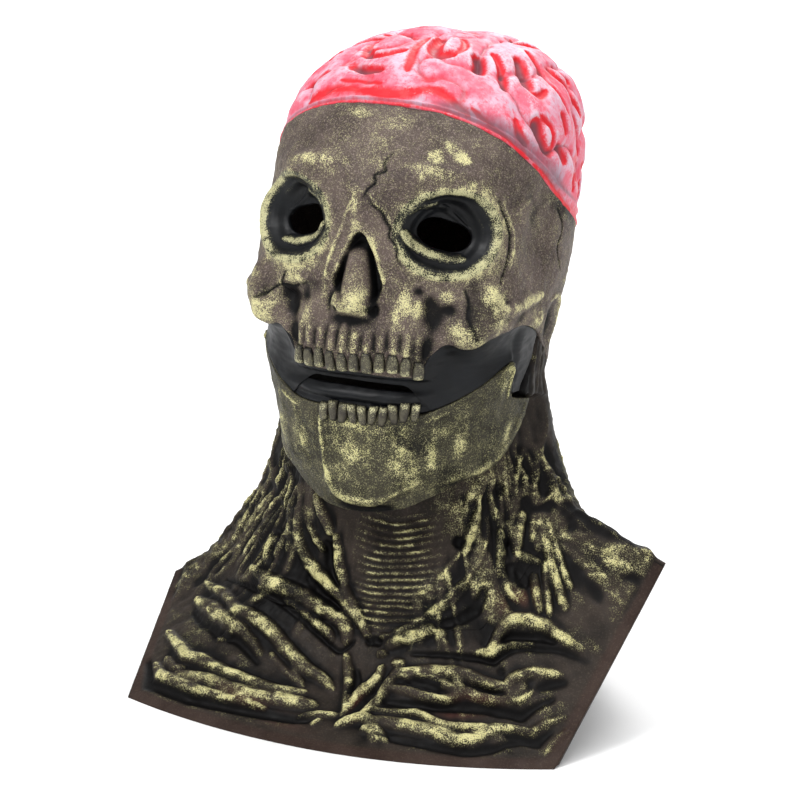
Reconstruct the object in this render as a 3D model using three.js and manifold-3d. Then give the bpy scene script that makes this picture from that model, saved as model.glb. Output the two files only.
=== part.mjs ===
// A full-head latex skull mask with a bare brain, an open moving jaw and a bib that lies on the
// wearer's chest, shoulders and back. Every piece is a thin latex shell cut from one of two
// surfaces: the head, and the neck with its bib.
//
// Millimetres. +z is up from the hem that the mask stands on, -y is the face, and +x is the
// wearer's left. An angle runs round the mask from 0 at the face to +90 degrees at the wearer's
// left ear and 180 at the nape.
import * as THREE from "three";
import { mergeVertices } from "three/addons/utils/BufferGeometryUtils.js";
import Module from "manifold-3d";

const wasm = await Module();
wasm.setup();

// Driving dimensions.
const LATEX = 3; // wall thickness
const GAP = 0.4; // between two pieces that meet
const FIT = 1.2; // between an inset and the edge of its opening
const DOME = { base: 312, height: 81, power: 2.05, fuller: 0.45 }; // the cranium above its widest section
const COLLAR = 160; // height where the neck starts to flare into the bib
const THROAT = { front: 56, half: 67 }; // the throat inside the jaw
const NECK_SPREAD = 9; // how much wider the neck's sides are at the collar than at the ears
const BIB_SPLIT = 0.56; // share of the flare that belongs to the neck
const JAW_HALF_ANGLE = 80;
const LINER_HALF_ANGLE = 84;
const ARC_RADIUS = 88; // turns an angle round the head into millimetres

// Horizontal sections of the head, from the cranium down to the chin:
// height, front, back, half width, and how square the face side is.
const HEAD_SECTIONS = [
  [312, 102, 108, 85, 2.2],
  [290, 100, 104, 87, 2.5],
  [265, 95, 98, 87, 2.7],
  [242, 95, 84, 84, 2.8],
  [222, 95, 68, 81, 2.8],
  [200, 92, 56, 79, 2.6],
  [178, 90, 50, 76, 2.4],
  [150, 87, 50, 70, 2.2],
  [122, 80, 50, 60, 2.1],
];
const BACK_SQUARENESS = 2.2;
const LEAN = [[255, 0], [312, 9], [393, 24]]; // how far the cranium's axis leans back: height, amount


// Soft bumps and hollows of the bones: angle, height, half width, half height, rise. Each is
// mirrored to the other side.
const BONES = [
  [0, 303, 14, 12, 3], // glabella
  [25, 322, 26, 9, 4], // brow
  [46, 243, 20, 14, 7], // cheekbone
  [68, 280, 18, 26, -4], // temple
  [0, 224, 30, 18, 6], // upper jaw
  [32, 218, 12, 12, -3], // hollow beside the upper jaw
  [0, 138, 24, 15, 5], // chin
];

// Heights that bound the pieces, as [angle, height] pairs from the face to the nape.
const BRAIN_RIM = [[0, 358], [22, 355], [45, 342], [62, 325], [80, 307], [100, 292], [125, 279], [180, 272]];
const SKULL_HEM = [
  [0, 211], [21, 211], [25, 221], [30, 230], [37, 229], [46, 235], [60, 238], [72, 233], [82, 225], [90, 217],
  [98, 208], [106, 205], [180, 205],
];
const JAW_TOP = [
  [0, 188], [24, 188], [32, 193], [41, 200], [50, 208], [58, 214], [62, 215], [66, 211], [70, 194], [75, 187],
  [80, 185],
];
const JAW_HEM = [[0, 126], [15, 128], [30, 136], [45, 146], [58, 149], [68, 156], [75, 166], [80, 177]];
const NECK_TOP = [[0, 175], [45, 178], [70, 196], [90, 212], [180, 212]];

// The bib's hem: angle, then the point there, for the wearer's left side and then the right,
// which hangs lower at the shoulder.
const FRONT_CORNER = 50;
const SHOULDER = 90;
const BACK_CORNER = 132;
const HEM_LEFT = { front: [134, -102, -2], tip: [163, 0, 98], back: [84, 98, -2] };
const HEM_RIGHT = { front: [-127, -112, -2], tip: [-148, -6, 46], back: [-84, 98, -2] };
const HEM_FRONT = -139;
const HEM_BACK = 112;

// The middle of the finished outline, which becomes the origin.
const MIDDLE = { x: 7.47, y: -7.15 };

const rad = THREE.MathUtils.degToRad;

// A smooth curve through [at, value] pairs, with level ends.
function smooth(pairs, at) {
  const last = pairs.length - 1;
  if (at <= pairs[0][0]) return pairs[0][1];
  if (at >= pairs[last][0]) return pairs[last][1];
  const k = pairs.findIndex((p) => p[0] > at) - 1;
  const slope = (i) =>
    i === 0 || i === last ? 0 : (pairs[i + 1][1] - pairs[i - 1][1]) / (pairs[i + 1][0] - pairs[i - 1][0]);
  const [x0, y0] = pairs[k];
  const [x1, y1] = pairs[k + 1];
  const span = x1 - x0;
  const t = (at - x0) / span;
  return (
    y0 * (1 + 2 * t) * (1 - t) ** 2 +
    y1 * t * t * (3 - 2 * t) +
    slope(k) * span * t * (1 - t) ** 2 -
    slope(k + 1) * span * t * t * (1 - t)
  );
}

const step = (low, high, at) => THREE.MathUtils.smoothstep(at, low, high);
const column = (index) => [...HEAD_SECTIONS].reverse().map((s) => [s[0], s[index]]);
const FRONT = column(1);
const BACK = column(2);
const WIDTH = column(3);
const SQUARE = column(4);

// The bones' rise at an angle and height.
function bones(angle, z) {
  let rise = 0;
  for (const [at, height, wide, high, amount] of BONES) {
    const away = ((Math.abs(angle) - at) * Math.PI * ARC_RADIUS) / 180;
    rise += amount * Math.exp(-((away / wide) ** 2) - ((z - height) / high) ** 2);
  }
  return rise;
}

// Distance of the head's surface from its axis.
function headRadius(angle, z) {
  const above = Math.max(0, (z - DOME.base) / DOME.height);
  const fall = DOME.power + DOME.fuller * step(40, 120, Math.abs(angle));
  const shrink = Math.max(0, 1 - above ** fall) ** (1 / fall);
  const at = Math.min(z, DOME.base);
  const c = Math.cos(rad(angle));
  const s = Math.sin(rad(angle));
  const power = c > 0 ? smooth(SQUARE, at) : BACK_SQUARENESS;
  const reach = c > 0 ? smooth(FRONT, at) : smooth(BACK, at);
  const round = Math.abs(s / smooth(WIDTH, at)) ** power + Math.abs(c / reach) ** power;
  return (round ** (-1 / power) + bones(angle, z)) * shrink;
}

const polar = (angle, radius, z) =>
  new THREE.Vector3(radius * Math.sin(rad(angle)), -radius * Math.cos(rad(angle)), z);
function headAt(angle, z) {
  const leant = new THREE.Vector3(0, smooth(LEAN, z), 0);
  return polar(angle, headRadius(angle, z), z).add(leant);
}

// The neck's top edge: behind the jaw in front, and against the skull's hem behind the ears.
const neckTop = (turn) => Math.min(smooth(NECK_TOP, turn), smooth(SKULL_HEM, turn) - 2 * FIT);

// The neck follows the head round the back and widens below it. In front it lies well inside the
// moving jaw.
function neckRadius(angle, z) {
  const turn = Math.abs(angle);
  const flush = step(80, 104, turn);
  const wider = NECK_SPREAD * Math.max(0, (HEAD_SECTIONS[5][0] - z) / 40) * step(70, 100, turn);
  const inside = Math.hypot(Math.sin(rad(angle)) / THROAT.half, Math.cos(rad(angle)) / THROAT.front) ** -1;
  return THREE.MathUtils.lerp(inside, headRadius(angle, Math.max(z, HEAD_SECTIONS[5][0])), flush) + wider;
}

// A point on the hem. It runs straight from corner to shoulder tip, and bows out front and back.
function hemAt(angle) {
  const turn = Math.abs(angle);
  const { front, tip, back } = angle < 0 ? HEM_RIGHT : HEM_LEFT;
  const mix = (a, b, t) => new THREE.Vector3(...a).lerp(new THREE.Vector3(...b), t);
  if (turn <= FRONT_CORNER) {
    const t = turn / FRONT_CORNER;
    return new THREE.Vector3(front[0] * t, HEM_FRONT + (front[1] - HEM_FRONT) * t * t, front[2]);
  }
  if (turn <= SHOULDER) return mix(front, tip, (turn - FRONT_CORNER) / (SHOULDER - FRONT_CORNER));
  if (turn <= BACK_CORNER) return mix(tip, back, (turn - SHOULDER) / (BACK_CORNER - SHOULDER));
  const t = (180 - turn) / (180 - BACK_CORNER);
  return new THREE.Vector3(back[0] * t, HEM_BACK + (back[1] - HEM_BACK) * t * t, back[2]);
}

// How the flare leaves the neck and meets the hem, from the face round to the nape.
const NECK_DROP = [[0, 85], [50, 68], [90, 34], [132, 40], [180, 45]];
const NECK_LEAN = [[0, -15], [50, -4], [90, 4], [180, 8]];
const HEM_PULL = [[0, 1], [50, 0.72], [90, 0.62], [132, 0.3], [180, 0.07]];
const HEM_LIFT = [[0, 28], [50, 38], [90, 24], [132, 60], [180, 75]];

// A point on the flare: 0 at the collar, 1 at the hem.
function flareAt(angle, t) {
  const turn = Math.abs(angle);
  const top = polar(angle, neckRadius(angle, COLLAR), COLLAR);
  const hem = hemAt(angle);
  const radius = neckRadius(angle, COLLAR) + smooth(NECK_LEAN, turn);
  const leave = polar(angle, radius, COLLAR - smooth(NECK_DROP, turn));
  const pull = smooth(HEM_PULL, turn);
  const meet = new THREE.Vector3(
    THREE.MathUtils.lerp(hem.x, top.x, pull),
    THREE.MathUtils.lerp(hem.y, top.y, pull),
    hem.z + smooth(HEM_LIFT, turn),
  );
  return new THREE.CubicBezierCurve3(top, leave, meet, hem).getPoint(t);
}

// The neck and bib as one surface: negative heights of s run up the neck, 0 to 1 down the flare.
function neckAt(angle, s) {
  if (s >= 0) return flareAt(angle, s);
  const z = COLLAR - s * (neckTop(Math.abs(angle)) - COLLAR);
  return polar(angle, neckRadius(angle, z), z);
}

// A surface point moved along its outward normal.
function raised(surface, angle, v, offset) {
  const d = 0.02;
  const along = surface(angle + 4, v).sub(surface(angle - 4, v));
  const down = surface(angle, v + d).sub(surface(angle, v - d));
  const normal = down.cross(along).normalize();
  if (normal.dot(polar(angle, 1, 0.2)) < 0) normal.negate();
  return surface(angle, v).addScaledVector(normal, offset);
}
const onHead = (angle, z, offset) => raised(headAt, angle, z, offset);
const onNeck = (angle, s, offset) => raised(neckAt, angle, s, offset);

// A closed solid between an outer and an inner grid of points, each a list of rows. A ring's rows
// join end to end, and a row whose points coincide closes the grid at a pole.
function between(outer, inner, ring) {
  const rows = outer.length;
  const wide = outer[0].length;
  const points = [...outer.flat(), ...inner.flat()];
  const id = (side, r, c) => side * rows * wide + r * wide + (c % wide);
  const faces = [];
  const quad = (a, b, c, d) => faces.push([a, b, c], [a, c, d]);
  const columns = ring ? wide : wide - 1;
  for (let c = 0; c < columns; c++) {
    for (let r = 0; r < rows - 1; r++) {
      quad(id(0, r, c), id(0, r + 1, c), id(0, r + 1, c + 1), id(0, r, c + 1));
      quad(id(1, r, c), id(1, r, c + 1), id(1, r + 1, c + 1), id(1, r + 1, c));
    }
    quad(id(0, 0, c), id(0, 0, c + 1), id(1, 0, c + 1), id(1, 0, c));
    quad(id(0, rows - 1, c), id(1, rows - 1, c), id(1, rows - 1, c + 1), id(0, rows - 1, c + 1));
  }
  if (!ring)
    for (let r = 0; r < rows - 1; r++) {
      quad(id(0, r, 0), id(1, r, 0), id(1, r + 1, 0), id(0, r + 1, 0));
      quad(id(0, r, wide - 1), id(0, r + 1, wide - 1), id(1, r + 1, wide - 1), id(1, r, wide - 1));
    }
  return solid(points, faces);
}

// A manifold-3d solid from points and triangles, with coinciding points merged.
function solid(points, faces) {
  const flat = new THREE.BufferGeometry().setFromPoints(points);
  flat.setIndex(faces.flat());
  const merged = mergeVertices(flat, 1e-3);
  const index = merged.index.array;
  const kept = [];
  for (let i = 0; i < index.length; i += 3) {
    const [a, b, c] = [index[i], index[i + 1], index[i + 2]];
    if (a !== b && b !== c && a !== c) kept.push(a, b, c);
  }
  const vertProperties = merged.attributes.position.array;
  const mesh = { numProp: 3, vertProperties, triVerts: new Uint32Array(kept) };
  const made = new wasm.Manifold(new wasm.Mesh(mesh));
  if (made.volume() >= 0) return made;
  mesh.triVerts = new Uint32Array(kept.reverse());
  return new wasm.Manifold(new wasm.Mesh(mesh));
}

// A shell cut from a surface between two boundaries, each a function of the angle. The offsets
// say where its outer and inner faces lie, at an angle and a share of the way down.
function shell({ surface, angles, rows, top, bottom, outer, inner, ring }) {
  const grid = (offset) =>
    Array.from({ length: rows + 1 }, (_, r) =>
      angles.map((angle) => {
        const share = r / rows;
        const v = THREE.MathUtils.lerp(top(angle), bottom(angle), share);
        return surface(angle, v, offset(angle, share));
      }),
    );
  return between(grid(outer), grid(inner), ring);
}

const flushOuter = () => 0;
const flushInner = () => -LATEX;
const bound = (pairs, shift = 0) => (angle) => smooth(pairs, Math.abs(angle)) + shift;

// Angles every few degrees over a stretch, both ends included.
function spread(from, to, count) {
  return Array.from({ length: count + 1 }, (_, i) => from + ((to - from) * i) / count);
}
const HALF_RING = [
  0, 10, 20, 30, 40, FRONT_CORNER, 60, 70, 80, 86, SHOULDER, 96, 106, 118, BACK_CORNER, 148, 164,
];
const RING = [...HALF_RING.slice(1).reverse().map((a) => -a), ...HALF_RING, 180];

// An oval patch round a spot on the head. The profile gives rows of [radius share, outer offset,
// inner offset], from the middle or a hole's edge out to the rim. Both halves of the face use it.
function oval({ angle, z, wide, high, tilt = 0, profile, hole, count = 20 }) {
  const side = Math.sign(angle) || 1;
  const spot = (share, turn) => {
    const edge = hole ? THREE.MathUtils.lerp(hole(turn), 1, share) : share;
    const across = wide * edge * Math.cos(turn);
    const up = high * edge * Math.sin(turn);
    const x = across * Math.cos(rad(tilt)) - up * Math.sin(rad(tilt));
    const y = across * Math.sin(rad(tilt)) + up * Math.cos(rad(tilt));
    return [angle + (side * x * 180) / (Math.PI * ARC_RADIUS), z + y];
  };
  const turns = Array.from({ length: count }, (_, i) => (2 * Math.PI * i * -side) / count);
  const grid = (index) => profile.map((p) => turns.map((turn) => onHead(...spot(p[0], turn), p[index])));
  return between(grid(1), grid(2), true);
}

// The brain: the cranium's dome above the rim.
function brainCap() {
  const heights = [0, 0.14, 0.28, 0.42, 0.56, 0.7, 0.85, 1].map((share) => Math.cos((share * Math.PI) / 2));
  const crown = DOME.base + DOME.height - 0.5;
  const grid = (offset) =>
    heights.map((share, row) =>
      RING.map((angle) => {
        const rim = smooth(BRAIN_RIM, Math.abs(angle)) + GAP / 2;
        const z = THREE.MathUtils.lerp(rim, crown, share);
        if (row === 0) return headAt(0, crown).setX(0).setY(LEAN[2][1]).setZ(crown + offset);
        return onHead(angle, z, offset);
      }),
    );
  return between(grid(0), grid(-LATEX), true);
}

const SOCKET = { angle: 28, z: 292, wide: 27, high: 25, tilt: -12 };
const NOSTRIL = { angle: 0, z: 267, wide: 15, high: 23 };

// The skull: a ring from the brain's rim to the upper teeth, cheekbones and nape.
function skullShell() {
  const ring = shell({
    surface: onHead,
    angles: RING,
    rows: 9,
    top: bound(BRAIN_RIM, -GAP / 2),
    bottom: bound(SKULL_HEM),
    outer: flushOuter,
    inner: flushInner,
    ring: true,
  });
  const through = [[0, 12, -9], [1, 12, -9]];
  const sockets = [-1, 1].map((side) => oval({ ...SOCKET, angle: side * SOCKET.angle, profile: through }));
  const nose = oval({ ...NOSTRIL, profile: through });
  return sockets.reduce((skull, socket) => skull.subtract(socket), ring.subtract(nose));
}

// A socket's lining: a cup that narrows to the almond-shaped hole the wearer looks through.
function eyeCup(side) {
  const hole = (turn) => 0.68 - 0.2 * Math.abs(Math.sin(turn));
  return oval({
    ...SOCKET,
    angle: side * SOCKET.angle,
    wide: SOCKET.wide - FIT,
    high: SOCKET.high - FIT,
    hole,
    profile: [[0, -12, -14.5], [0.5, -11, -13.8], [0.85, -6, -9], [1, -0.5, -3]],
  });
}

// The nose: a blunt ridge of cartilage that fills the nasal opening.
function noseCartilage() {
  return oval({
    ...NOSTRIL,
    wide: NOSTRIL.wide - FIT,
    high: NOSTRIL.high - FIT,
    profile: [[0, 4, -2], [0.4, 3, -3], [0.7, -1, -5], [1, -2, -5]],
  });
}

// A row of teeth on a strip of gum, standing on the shell behind it.
function toothRow({ count, halfAngle, z, gum, long, lift }) {
  const strip = shell({
    surface: onHead,
    angles: spread(-halfAngle, halfAngle, 12),
    rows: 1,
    top: () => gum + 2,
    bottom: () => gum - 2,
    outer: () => lift + 1.6,
    inner: () => lift,
    ring: false,
  });
  const pitch = (2 * halfAngle) / count;
  const wide = (0.46 * pitch * Math.PI * ARC_RADIUS) / 180;
  return spread(-halfAngle + pitch / 2, halfAngle - pitch / 2, count - 1).reduce(
    (row, angle) =>
      row.add(
        oval({
          angle,
          z,
          wide,
          high: long / 2,
          count: 10,
          profile: [[0, lift + 3.4, lift], [0.6, lift + 3, lift], [1, lift + 1, lift]],
        }),
      ),
    strip,
  );
}
const UPPER_TEETH = { count: 12, halfAngle: 25, z: 219, gum: 227, long: 17, lift: GAP };
const LOWER_TEETH = { count: 10, halfAngle: 22, z: 183, gum: 178, long: 15, lift: GAP };

// The lower jaw: a horseshoe shell from the chin up to both ramus tips.
function jawShell() {
  return shell({
    surface: onHead,
    angles: spread(-JAW_HALF_ANGLE, JAW_HALF_ANGLE, 24),
    rows: 6,
    top: bound(JAW_TOP),
    bottom: bound(JAW_HEM),
    outer: flushOuter,
    inner: flushInner,
    ring: false,
  });
}

// The black lining of the mouth and cheeks, tucked behind the skull above and the jaw below.
const SLIT = { z: 198, halfAngle: 26, half: 1.5 };
function upperLiner() {
  const bottom = (angle) => {
    const turn = Math.abs(angle);
    const tucked = THREE.MathUtils.clamp(smooth(JAW_TOP, turn) - 11, 182, 193);
    const sideways = step(SLIT.halfAngle - 6, SLIT.halfAngle + 8, turn);
    return THREE.MathUtils.lerp(SLIT.z + SLIT.half, tucked, sideways);
  };
  return shell({
    surface: onHead,
    angles: spread(-LINER_HALF_ANGLE, LINER_HALF_ANGLE, 28),
    rows: 4,
    top: bound(SKULL_HEM, 8),
    bottom,
    outer: () => -LATEX - 2.1,
    inner: () => -LATEX - 3.8,
    ring: false,
  });
}

// The lower lip of the lining, which moves with the jaw and opens the slit.
function lowerLip() {
  const inset = (angle) => THREE.MathUtils.lerp(-LATEX - GAP, -LATEX - 5, step(14, 24, Math.abs(angle)));
  return shell({
    surface: onHead,
    angles: spread(-SLIT.halfAngle - 8, SLIT.halfAngle + 8, 12),
    rows: 2,
    top: () => SLIT.z - SLIT.half,
    bottom: () => SLIT.z - 18,
    outer: inset,
    inner: (angle) => inset(angle) - 2,
    ring: false,
  });
}

const neckShell = (angles, rows, top, bottom, ring) =>
  shell({ surface: onNeck, angles, rows, top, bottom, outer: flushOuter, inner: flushInner, ring });

const neckSleeve = () => neckShell(RING, 9, () => -1, () => BIB_SPLIT, true);
const SEAM = 0.3; // half the gap at the shoulder seams, in degrees
const FRONT_ANGLES = [
  -SHOULDER + SEAM,
  ...RING.filter((a) => Math.abs(a) < SHOULDER),
  SHOULDER - SEAM,
];
const BACK_ANGLES = [
  SHOULDER + SEAM,
  ...RING.filter((a) => a > SHOULDER),
  ...RING.filter((a) => a < -SHOULDER).map((a) => a + 360),
  270 - SEAM,
];
const wrap = (angle) => (angle > 180 ? angle - 360 : angle);
const bibStart = () => BIB_SPLIT + 0.004;

// The floor that the hem is trimmed level with.
function floor() {
  const block = new THREE.BoxGeometry(500, 500, 60).translate(0, 0, -30);
  const { position } = block.attributes;
  const corner = (_, i) => new THREE.Vector3().fromBufferAttribute(position, i);
  const corners = Array.from({ length: position.count }, corner);
  const { array } = block.index;
  const triangle = (_, i) => [...array.slice(3 * i, 3 * i + 3)];
  return solid(corners, Array.from({ length: array.length / 3 }, triangle));
}
const frontBib = () => neckShell(FRONT_ANGLES, 6, bibStart, () => 1, false).subtract(floor());
const backBib = () =>
  shell({
    surface: (angle, s, offset) => onNeck(wrap(angle), s, offset),
    angles: BACK_ANGLES,
    rows: 6,
    top: bibStart,
    bottom: () => 1,
    outer: flushOuter,
    inner: flushInner,
    ring: false,
  }).subtract(floor());

// Looks: colour, roughness. Latex is never metallic.
const PAINT = {
  bone: new THREE.MeshStandardMaterial({ color: "#5b524a", roughness: 0.62, metalness: 0 }),
  socket: new THREE.MeshStandardMaterial({ color: "#15151a", roughness: 0.45, metalness: 0 }),
  tooth: new THREE.MeshStandardMaterial({ color: "#a39a66", roughness: 0.55, metalness: 0 }),
  brain: new THREE.MeshStandardMaterial({ color: "#e46a7c", roughness: 0.4, metalness: 0 }),
  flesh: new THREE.MeshStandardMaterial({ color: "#40382f", roughness: 0.6, metalness: 0 }),
};

function meshOf(name, made, material) {
  const { numProp, numVert, vertProperties, triVerts } = made.getMesh();
  const positions = new Float32Array(numVert * 3);
  for (let i = 0; i < numVert; i++) {
    const from = i * numProp;
    positions.set(vertProperties.subarray(from, from + 3), i * 3);
  }
  const geometry = new THREE.BufferGeometry();
  geometry.setAttribute("position", new THREE.BufferAttribute(positions, 3));
  geometry.translate(-MIDDLE.x, -MIDDLE.y, 0);
  geometry.setIndex(new THREE.BufferAttribute(triVerts, 1));
  geometry.computeVertexNormals();
  const mesh = new THREE.Mesh(geometry, material);
  mesh.name = name;
  return mesh;
}

const mask = new THREE.Group();
mask.add(
  meshOf("brain_cap", brainCap(), PAINT.brain),
  meshOf("skull_shell", skullShell(), PAINT.bone),
  meshOf("eye_socket_left", eyeCup(1), PAINT.socket),
  meshOf("eye_socket_right", eyeCup(-1), PAINT.socket),
  meshOf("nose_cartilage", noseCartilage(), PAINT.bone),
  meshOf("upper_teeth", toothRow(UPPER_TEETH), PAINT.tooth),
  meshOf("mouth_liner", upperLiner(), PAINT.socket),
  meshOf("neck_sleeve", neckSleeve(), PAINT.flesh),
  meshOf("front_bib", frontBib(), PAINT.flesh),
  meshOf("back_bib", backBib(), PAINT.flesh),
  meshOf("jaw_shell", jawShell(), PAINT.bone),
  meshOf("lower_teeth", toothRow(LOWER_TEETH), PAINT.tooth),
  meshOf("lower_lip", lowerLip(), PAINT.socket),
);

export default mask;
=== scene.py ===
"""A latex skull mask with a bare brain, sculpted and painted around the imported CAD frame.

Three relief maps (head, brain, neck with bib) hold the sculpted height and the paint. Every piece
is a grid of points on the same base surfaces as the CAD, lifted by those maps, so that pieces
which meet share one relief. Work is in millimetres, +z up, -y the face, +x the wearer's left.
"""

import math

import bpy
import numpy as np
from mathutils import Matrix, Vector


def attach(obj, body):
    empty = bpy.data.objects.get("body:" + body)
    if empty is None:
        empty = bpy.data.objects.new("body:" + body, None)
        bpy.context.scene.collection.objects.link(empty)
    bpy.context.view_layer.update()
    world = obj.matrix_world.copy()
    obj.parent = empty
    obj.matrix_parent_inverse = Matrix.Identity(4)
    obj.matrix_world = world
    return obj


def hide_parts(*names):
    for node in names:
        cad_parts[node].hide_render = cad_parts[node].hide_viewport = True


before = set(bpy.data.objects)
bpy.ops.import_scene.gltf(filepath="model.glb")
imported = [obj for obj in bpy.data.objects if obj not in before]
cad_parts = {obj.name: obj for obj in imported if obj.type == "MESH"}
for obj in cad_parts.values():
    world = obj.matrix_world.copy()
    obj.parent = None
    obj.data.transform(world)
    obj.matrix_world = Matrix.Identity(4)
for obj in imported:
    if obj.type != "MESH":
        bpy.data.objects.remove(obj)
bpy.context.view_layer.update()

MM = 0.001
MIDDLE = np.array([7.47, -7.15, 0.0])  # middle of the outline, which is the frame's origin
LATEX = 3.0  # wall thickness
ARC = 88.0  # radius that turns an angle round the head into millimetres
DEG = ARC * math.pi / 180

# ---------------------------------------------------------------- base surfaces (as in the CAD)
DOME_BASE, DOME_HEIGHT, DOME_POWER, DOME_FULLER = 312.0, 81.0, 2.05, 0.45
COLLAR = 160.0
HEAD_SECTIONS = [  # height, front, back, half width, squareness of the face side
    (122, 80, 50, 60, 2.1),
    (150, 87, 50, 70, 2.2),
    (178, 90, 50, 76, 2.4),
    (200, 92, 56, 79, 2.6),
    (222, 95, 68, 81, 2.8),
    (242, 95, 84, 84, 2.8),
    (265, 95, 98, 87, 2.7),
    (290, 100, 104, 87, 2.5),
    (312, 102, 108, 85, 2.2),
]
BACK_SQUARENESS = 2.2
LEAN = [(255, 0), (312, 9), (393, 24)]
BONES = [  # angle, height, half width, half height, rise
    (0, 303, 14, 12, 3),
    (25, 322, 26, 9, 4),
    (46, 243, 20, 14, 7),
    (68, 280, 18, 26, -4),
    (0, 224, 30, 18, 6),
    (32, 218, 12, 12, -3),
    (0, 138, 24, 15, 5),
]
# Edges of the pieces: angle, height
BRAIN_RIM = [(0, 358), (22, 355), (45, 342), (62, 325), (80, 307), (100, 292), (125, 279), (180, 272)]
SKULL_HEM = [
    (0, 211), (21, 211), (25, 221), (30, 230), (37, 229), (46, 235), (60, 238), (72, 233), (82, 225),
    (90, 217), (98, 208), (106, 205), (180, 205),
]
JAW_TOP = [
    (0, 188), (24, 188), (32, 193), (41, 200), (50, 208), (58, 214.5), (61, 214), (63.5, 196), (67, 192),
    (74, 190), (80, 189),
]
JAW_HEM = [(0, 126), (15, 128), (30, 136), (45, 146), (58, 149), (68, 156), (75, 166), (80, 177)]
NECK_TOP = [
    (0, 175), (45, 178), (60, 186), (66, 196), (71, 224), (76, 231), (82, 224), (90, 217), (180, 217),
]
THROAT_FRONT, THROAT_HALF, NECK_SPREAD = 56.0, 67.0, 9.0
FRONT_CORNER, SHOULDER, BACK_CORNER = 50.0, 90.0, 132.0
HEM_LEFT = {"front": (134, -102, 0), "tip": (163, 0, 98), "back": (84, 98, 0)}
HEM_RIGHT = {"front": (-127, -112, 0), "tip": (-148, -6, 46), "back": (-84, 98, 0)}
HEM_FRONT, HEM_BACK = -139.0, 112.0
NECK_DROP = [(0, 85), (50, 68), (90, 34), (132, 40), (180, 45)]
NECK_LEAN = [(0, -15), (50, -4), (90, 4), (180, 8)]
HEM_PULL = [(0, 1), (50, 0.72), (90, 0.62), (132, 0.3), (180, 0.07)]
HEM_LIFT = [(0, 28), (50, 38), (90, 24), (132, 60), (180, 75)]


def smooth(pairs, at):
    """A smooth curve through (at, value) pairs, with level ends."""
    xs = np.array([p[0] for p in pairs], float)
    ys = np.array([p[1] for p in pairs], float)
    slope = np.zeros(len(xs))
    slope[1:-1] = (ys[2:] - ys[:-2]) / (xs[2:] - xs[:-2])
    a = np.clip(np.asarray(at, float), xs[0], xs[-1])
    k = np.clip(np.searchsorted(xs, a, side="right") - 1, 0, len(xs) - 2)
    span = xs[k + 1] - xs[k]
    t = (a - xs[k]) / span
    return (
        ys[k] * (1 + 2 * t) * (1 - t) ** 2
        + ys[k + 1] * t * t * (3 - 2 * t)
        + slope[k] * span * t * (1 - t) ** 2
        - slope[k + 1] * span * t * t * (1 - t)
    )


def unit(values):
    return np.clip(values, 0, 1)


def step(low, high, at):
    """A smooth step from 0 at low to 1 at high."""
    t = unit((np.asarray(at, float) - low) / (high - low))
    return t * t * (3 - 2 * t)


def bell(at, middle, half, power=2):
    """A bump of height 1 at the middle. A power of 4 makes it flat-topped."""
    return np.exp(-(((at - middle) / half) ** power))


def column(index):
    return [(s[0], s[index]) for s in HEAD_SECTIONS]


def head_radius(angle, z):
    angle, z = np.broadcast_arrays(np.asarray(angle, float), np.asarray(z, float))
    above = np.maximum(0, (z - DOME_BASE) / DOME_HEIGHT)
    fall = DOME_POWER + DOME_FULLER * step(40, 120, np.abs(angle))
    shrink = np.maximum(0, 1 - above**fall) ** (1 / fall)
    at = np.minimum(z, DOME_BASE)
    c, s = np.cos(np.radians(angle)), np.sin(np.radians(angle))
    power = np.where(c > 0, smooth(column(4), at), BACK_SQUARENESS)
    reach = np.where(c > 0, smooth(column(1), at), smooth(column(2), at))
    around = np.abs(s / smooth(column(3), at)) ** power + np.abs(c / reach) ** power
    rise = 0
    for spot, height, wide, high, amount in BONES:
        away = (np.abs(angle) - spot) * DEG
        rise = rise + amount * np.exp(-((away / wide) ** 2) - ((z - height) / high) ** 2)
    return (around ** (-1 / power) + rise) * shrink


def polar(angle, radius, z):
    angle, radius, z = np.broadcast_arrays(np.asarray(angle, float), radius, np.asarray(z, float))
    turn = np.radians(angle)
    return np.stack([radius * np.sin(turn), -radius * np.cos(turn), z], -1)


def head_at(angle, z):
    p = polar(angle, head_radius(angle, z), z)
    p[..., 1] += smooth(LEAN, p[..., 2])
    return p


def lobe_edge(z):
    """Where the black cheek lining ends and the neck's skin begins, behind the jaw's corner."""
    return 67 + 9 * step(194, 216, z)


def neck_radius(angle, z):
    turn = np.abs(angle)
    forward = step(184, 195, z)
    begin = 80 + (lobe_edge(z) - 80) * forward
    flush = step(0, 1, (turn - begin) / (24 - 18 * forward))
    across, ahead = np.sin(np.radians(angle)) / THROAT_HALF, np.cos(np.radians(angle)) / THROAT_FRONT
    inside = (across**2 + ahead**2) ** -0.5
    wider = NECK_SPREAD * np.maximum(0, (200 - z) / 40) * step(70, 100, turn)
    return inside + (head_radius(angle, np.maximum(z, 200)) - 0.3 - inside) * flush + wider


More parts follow.
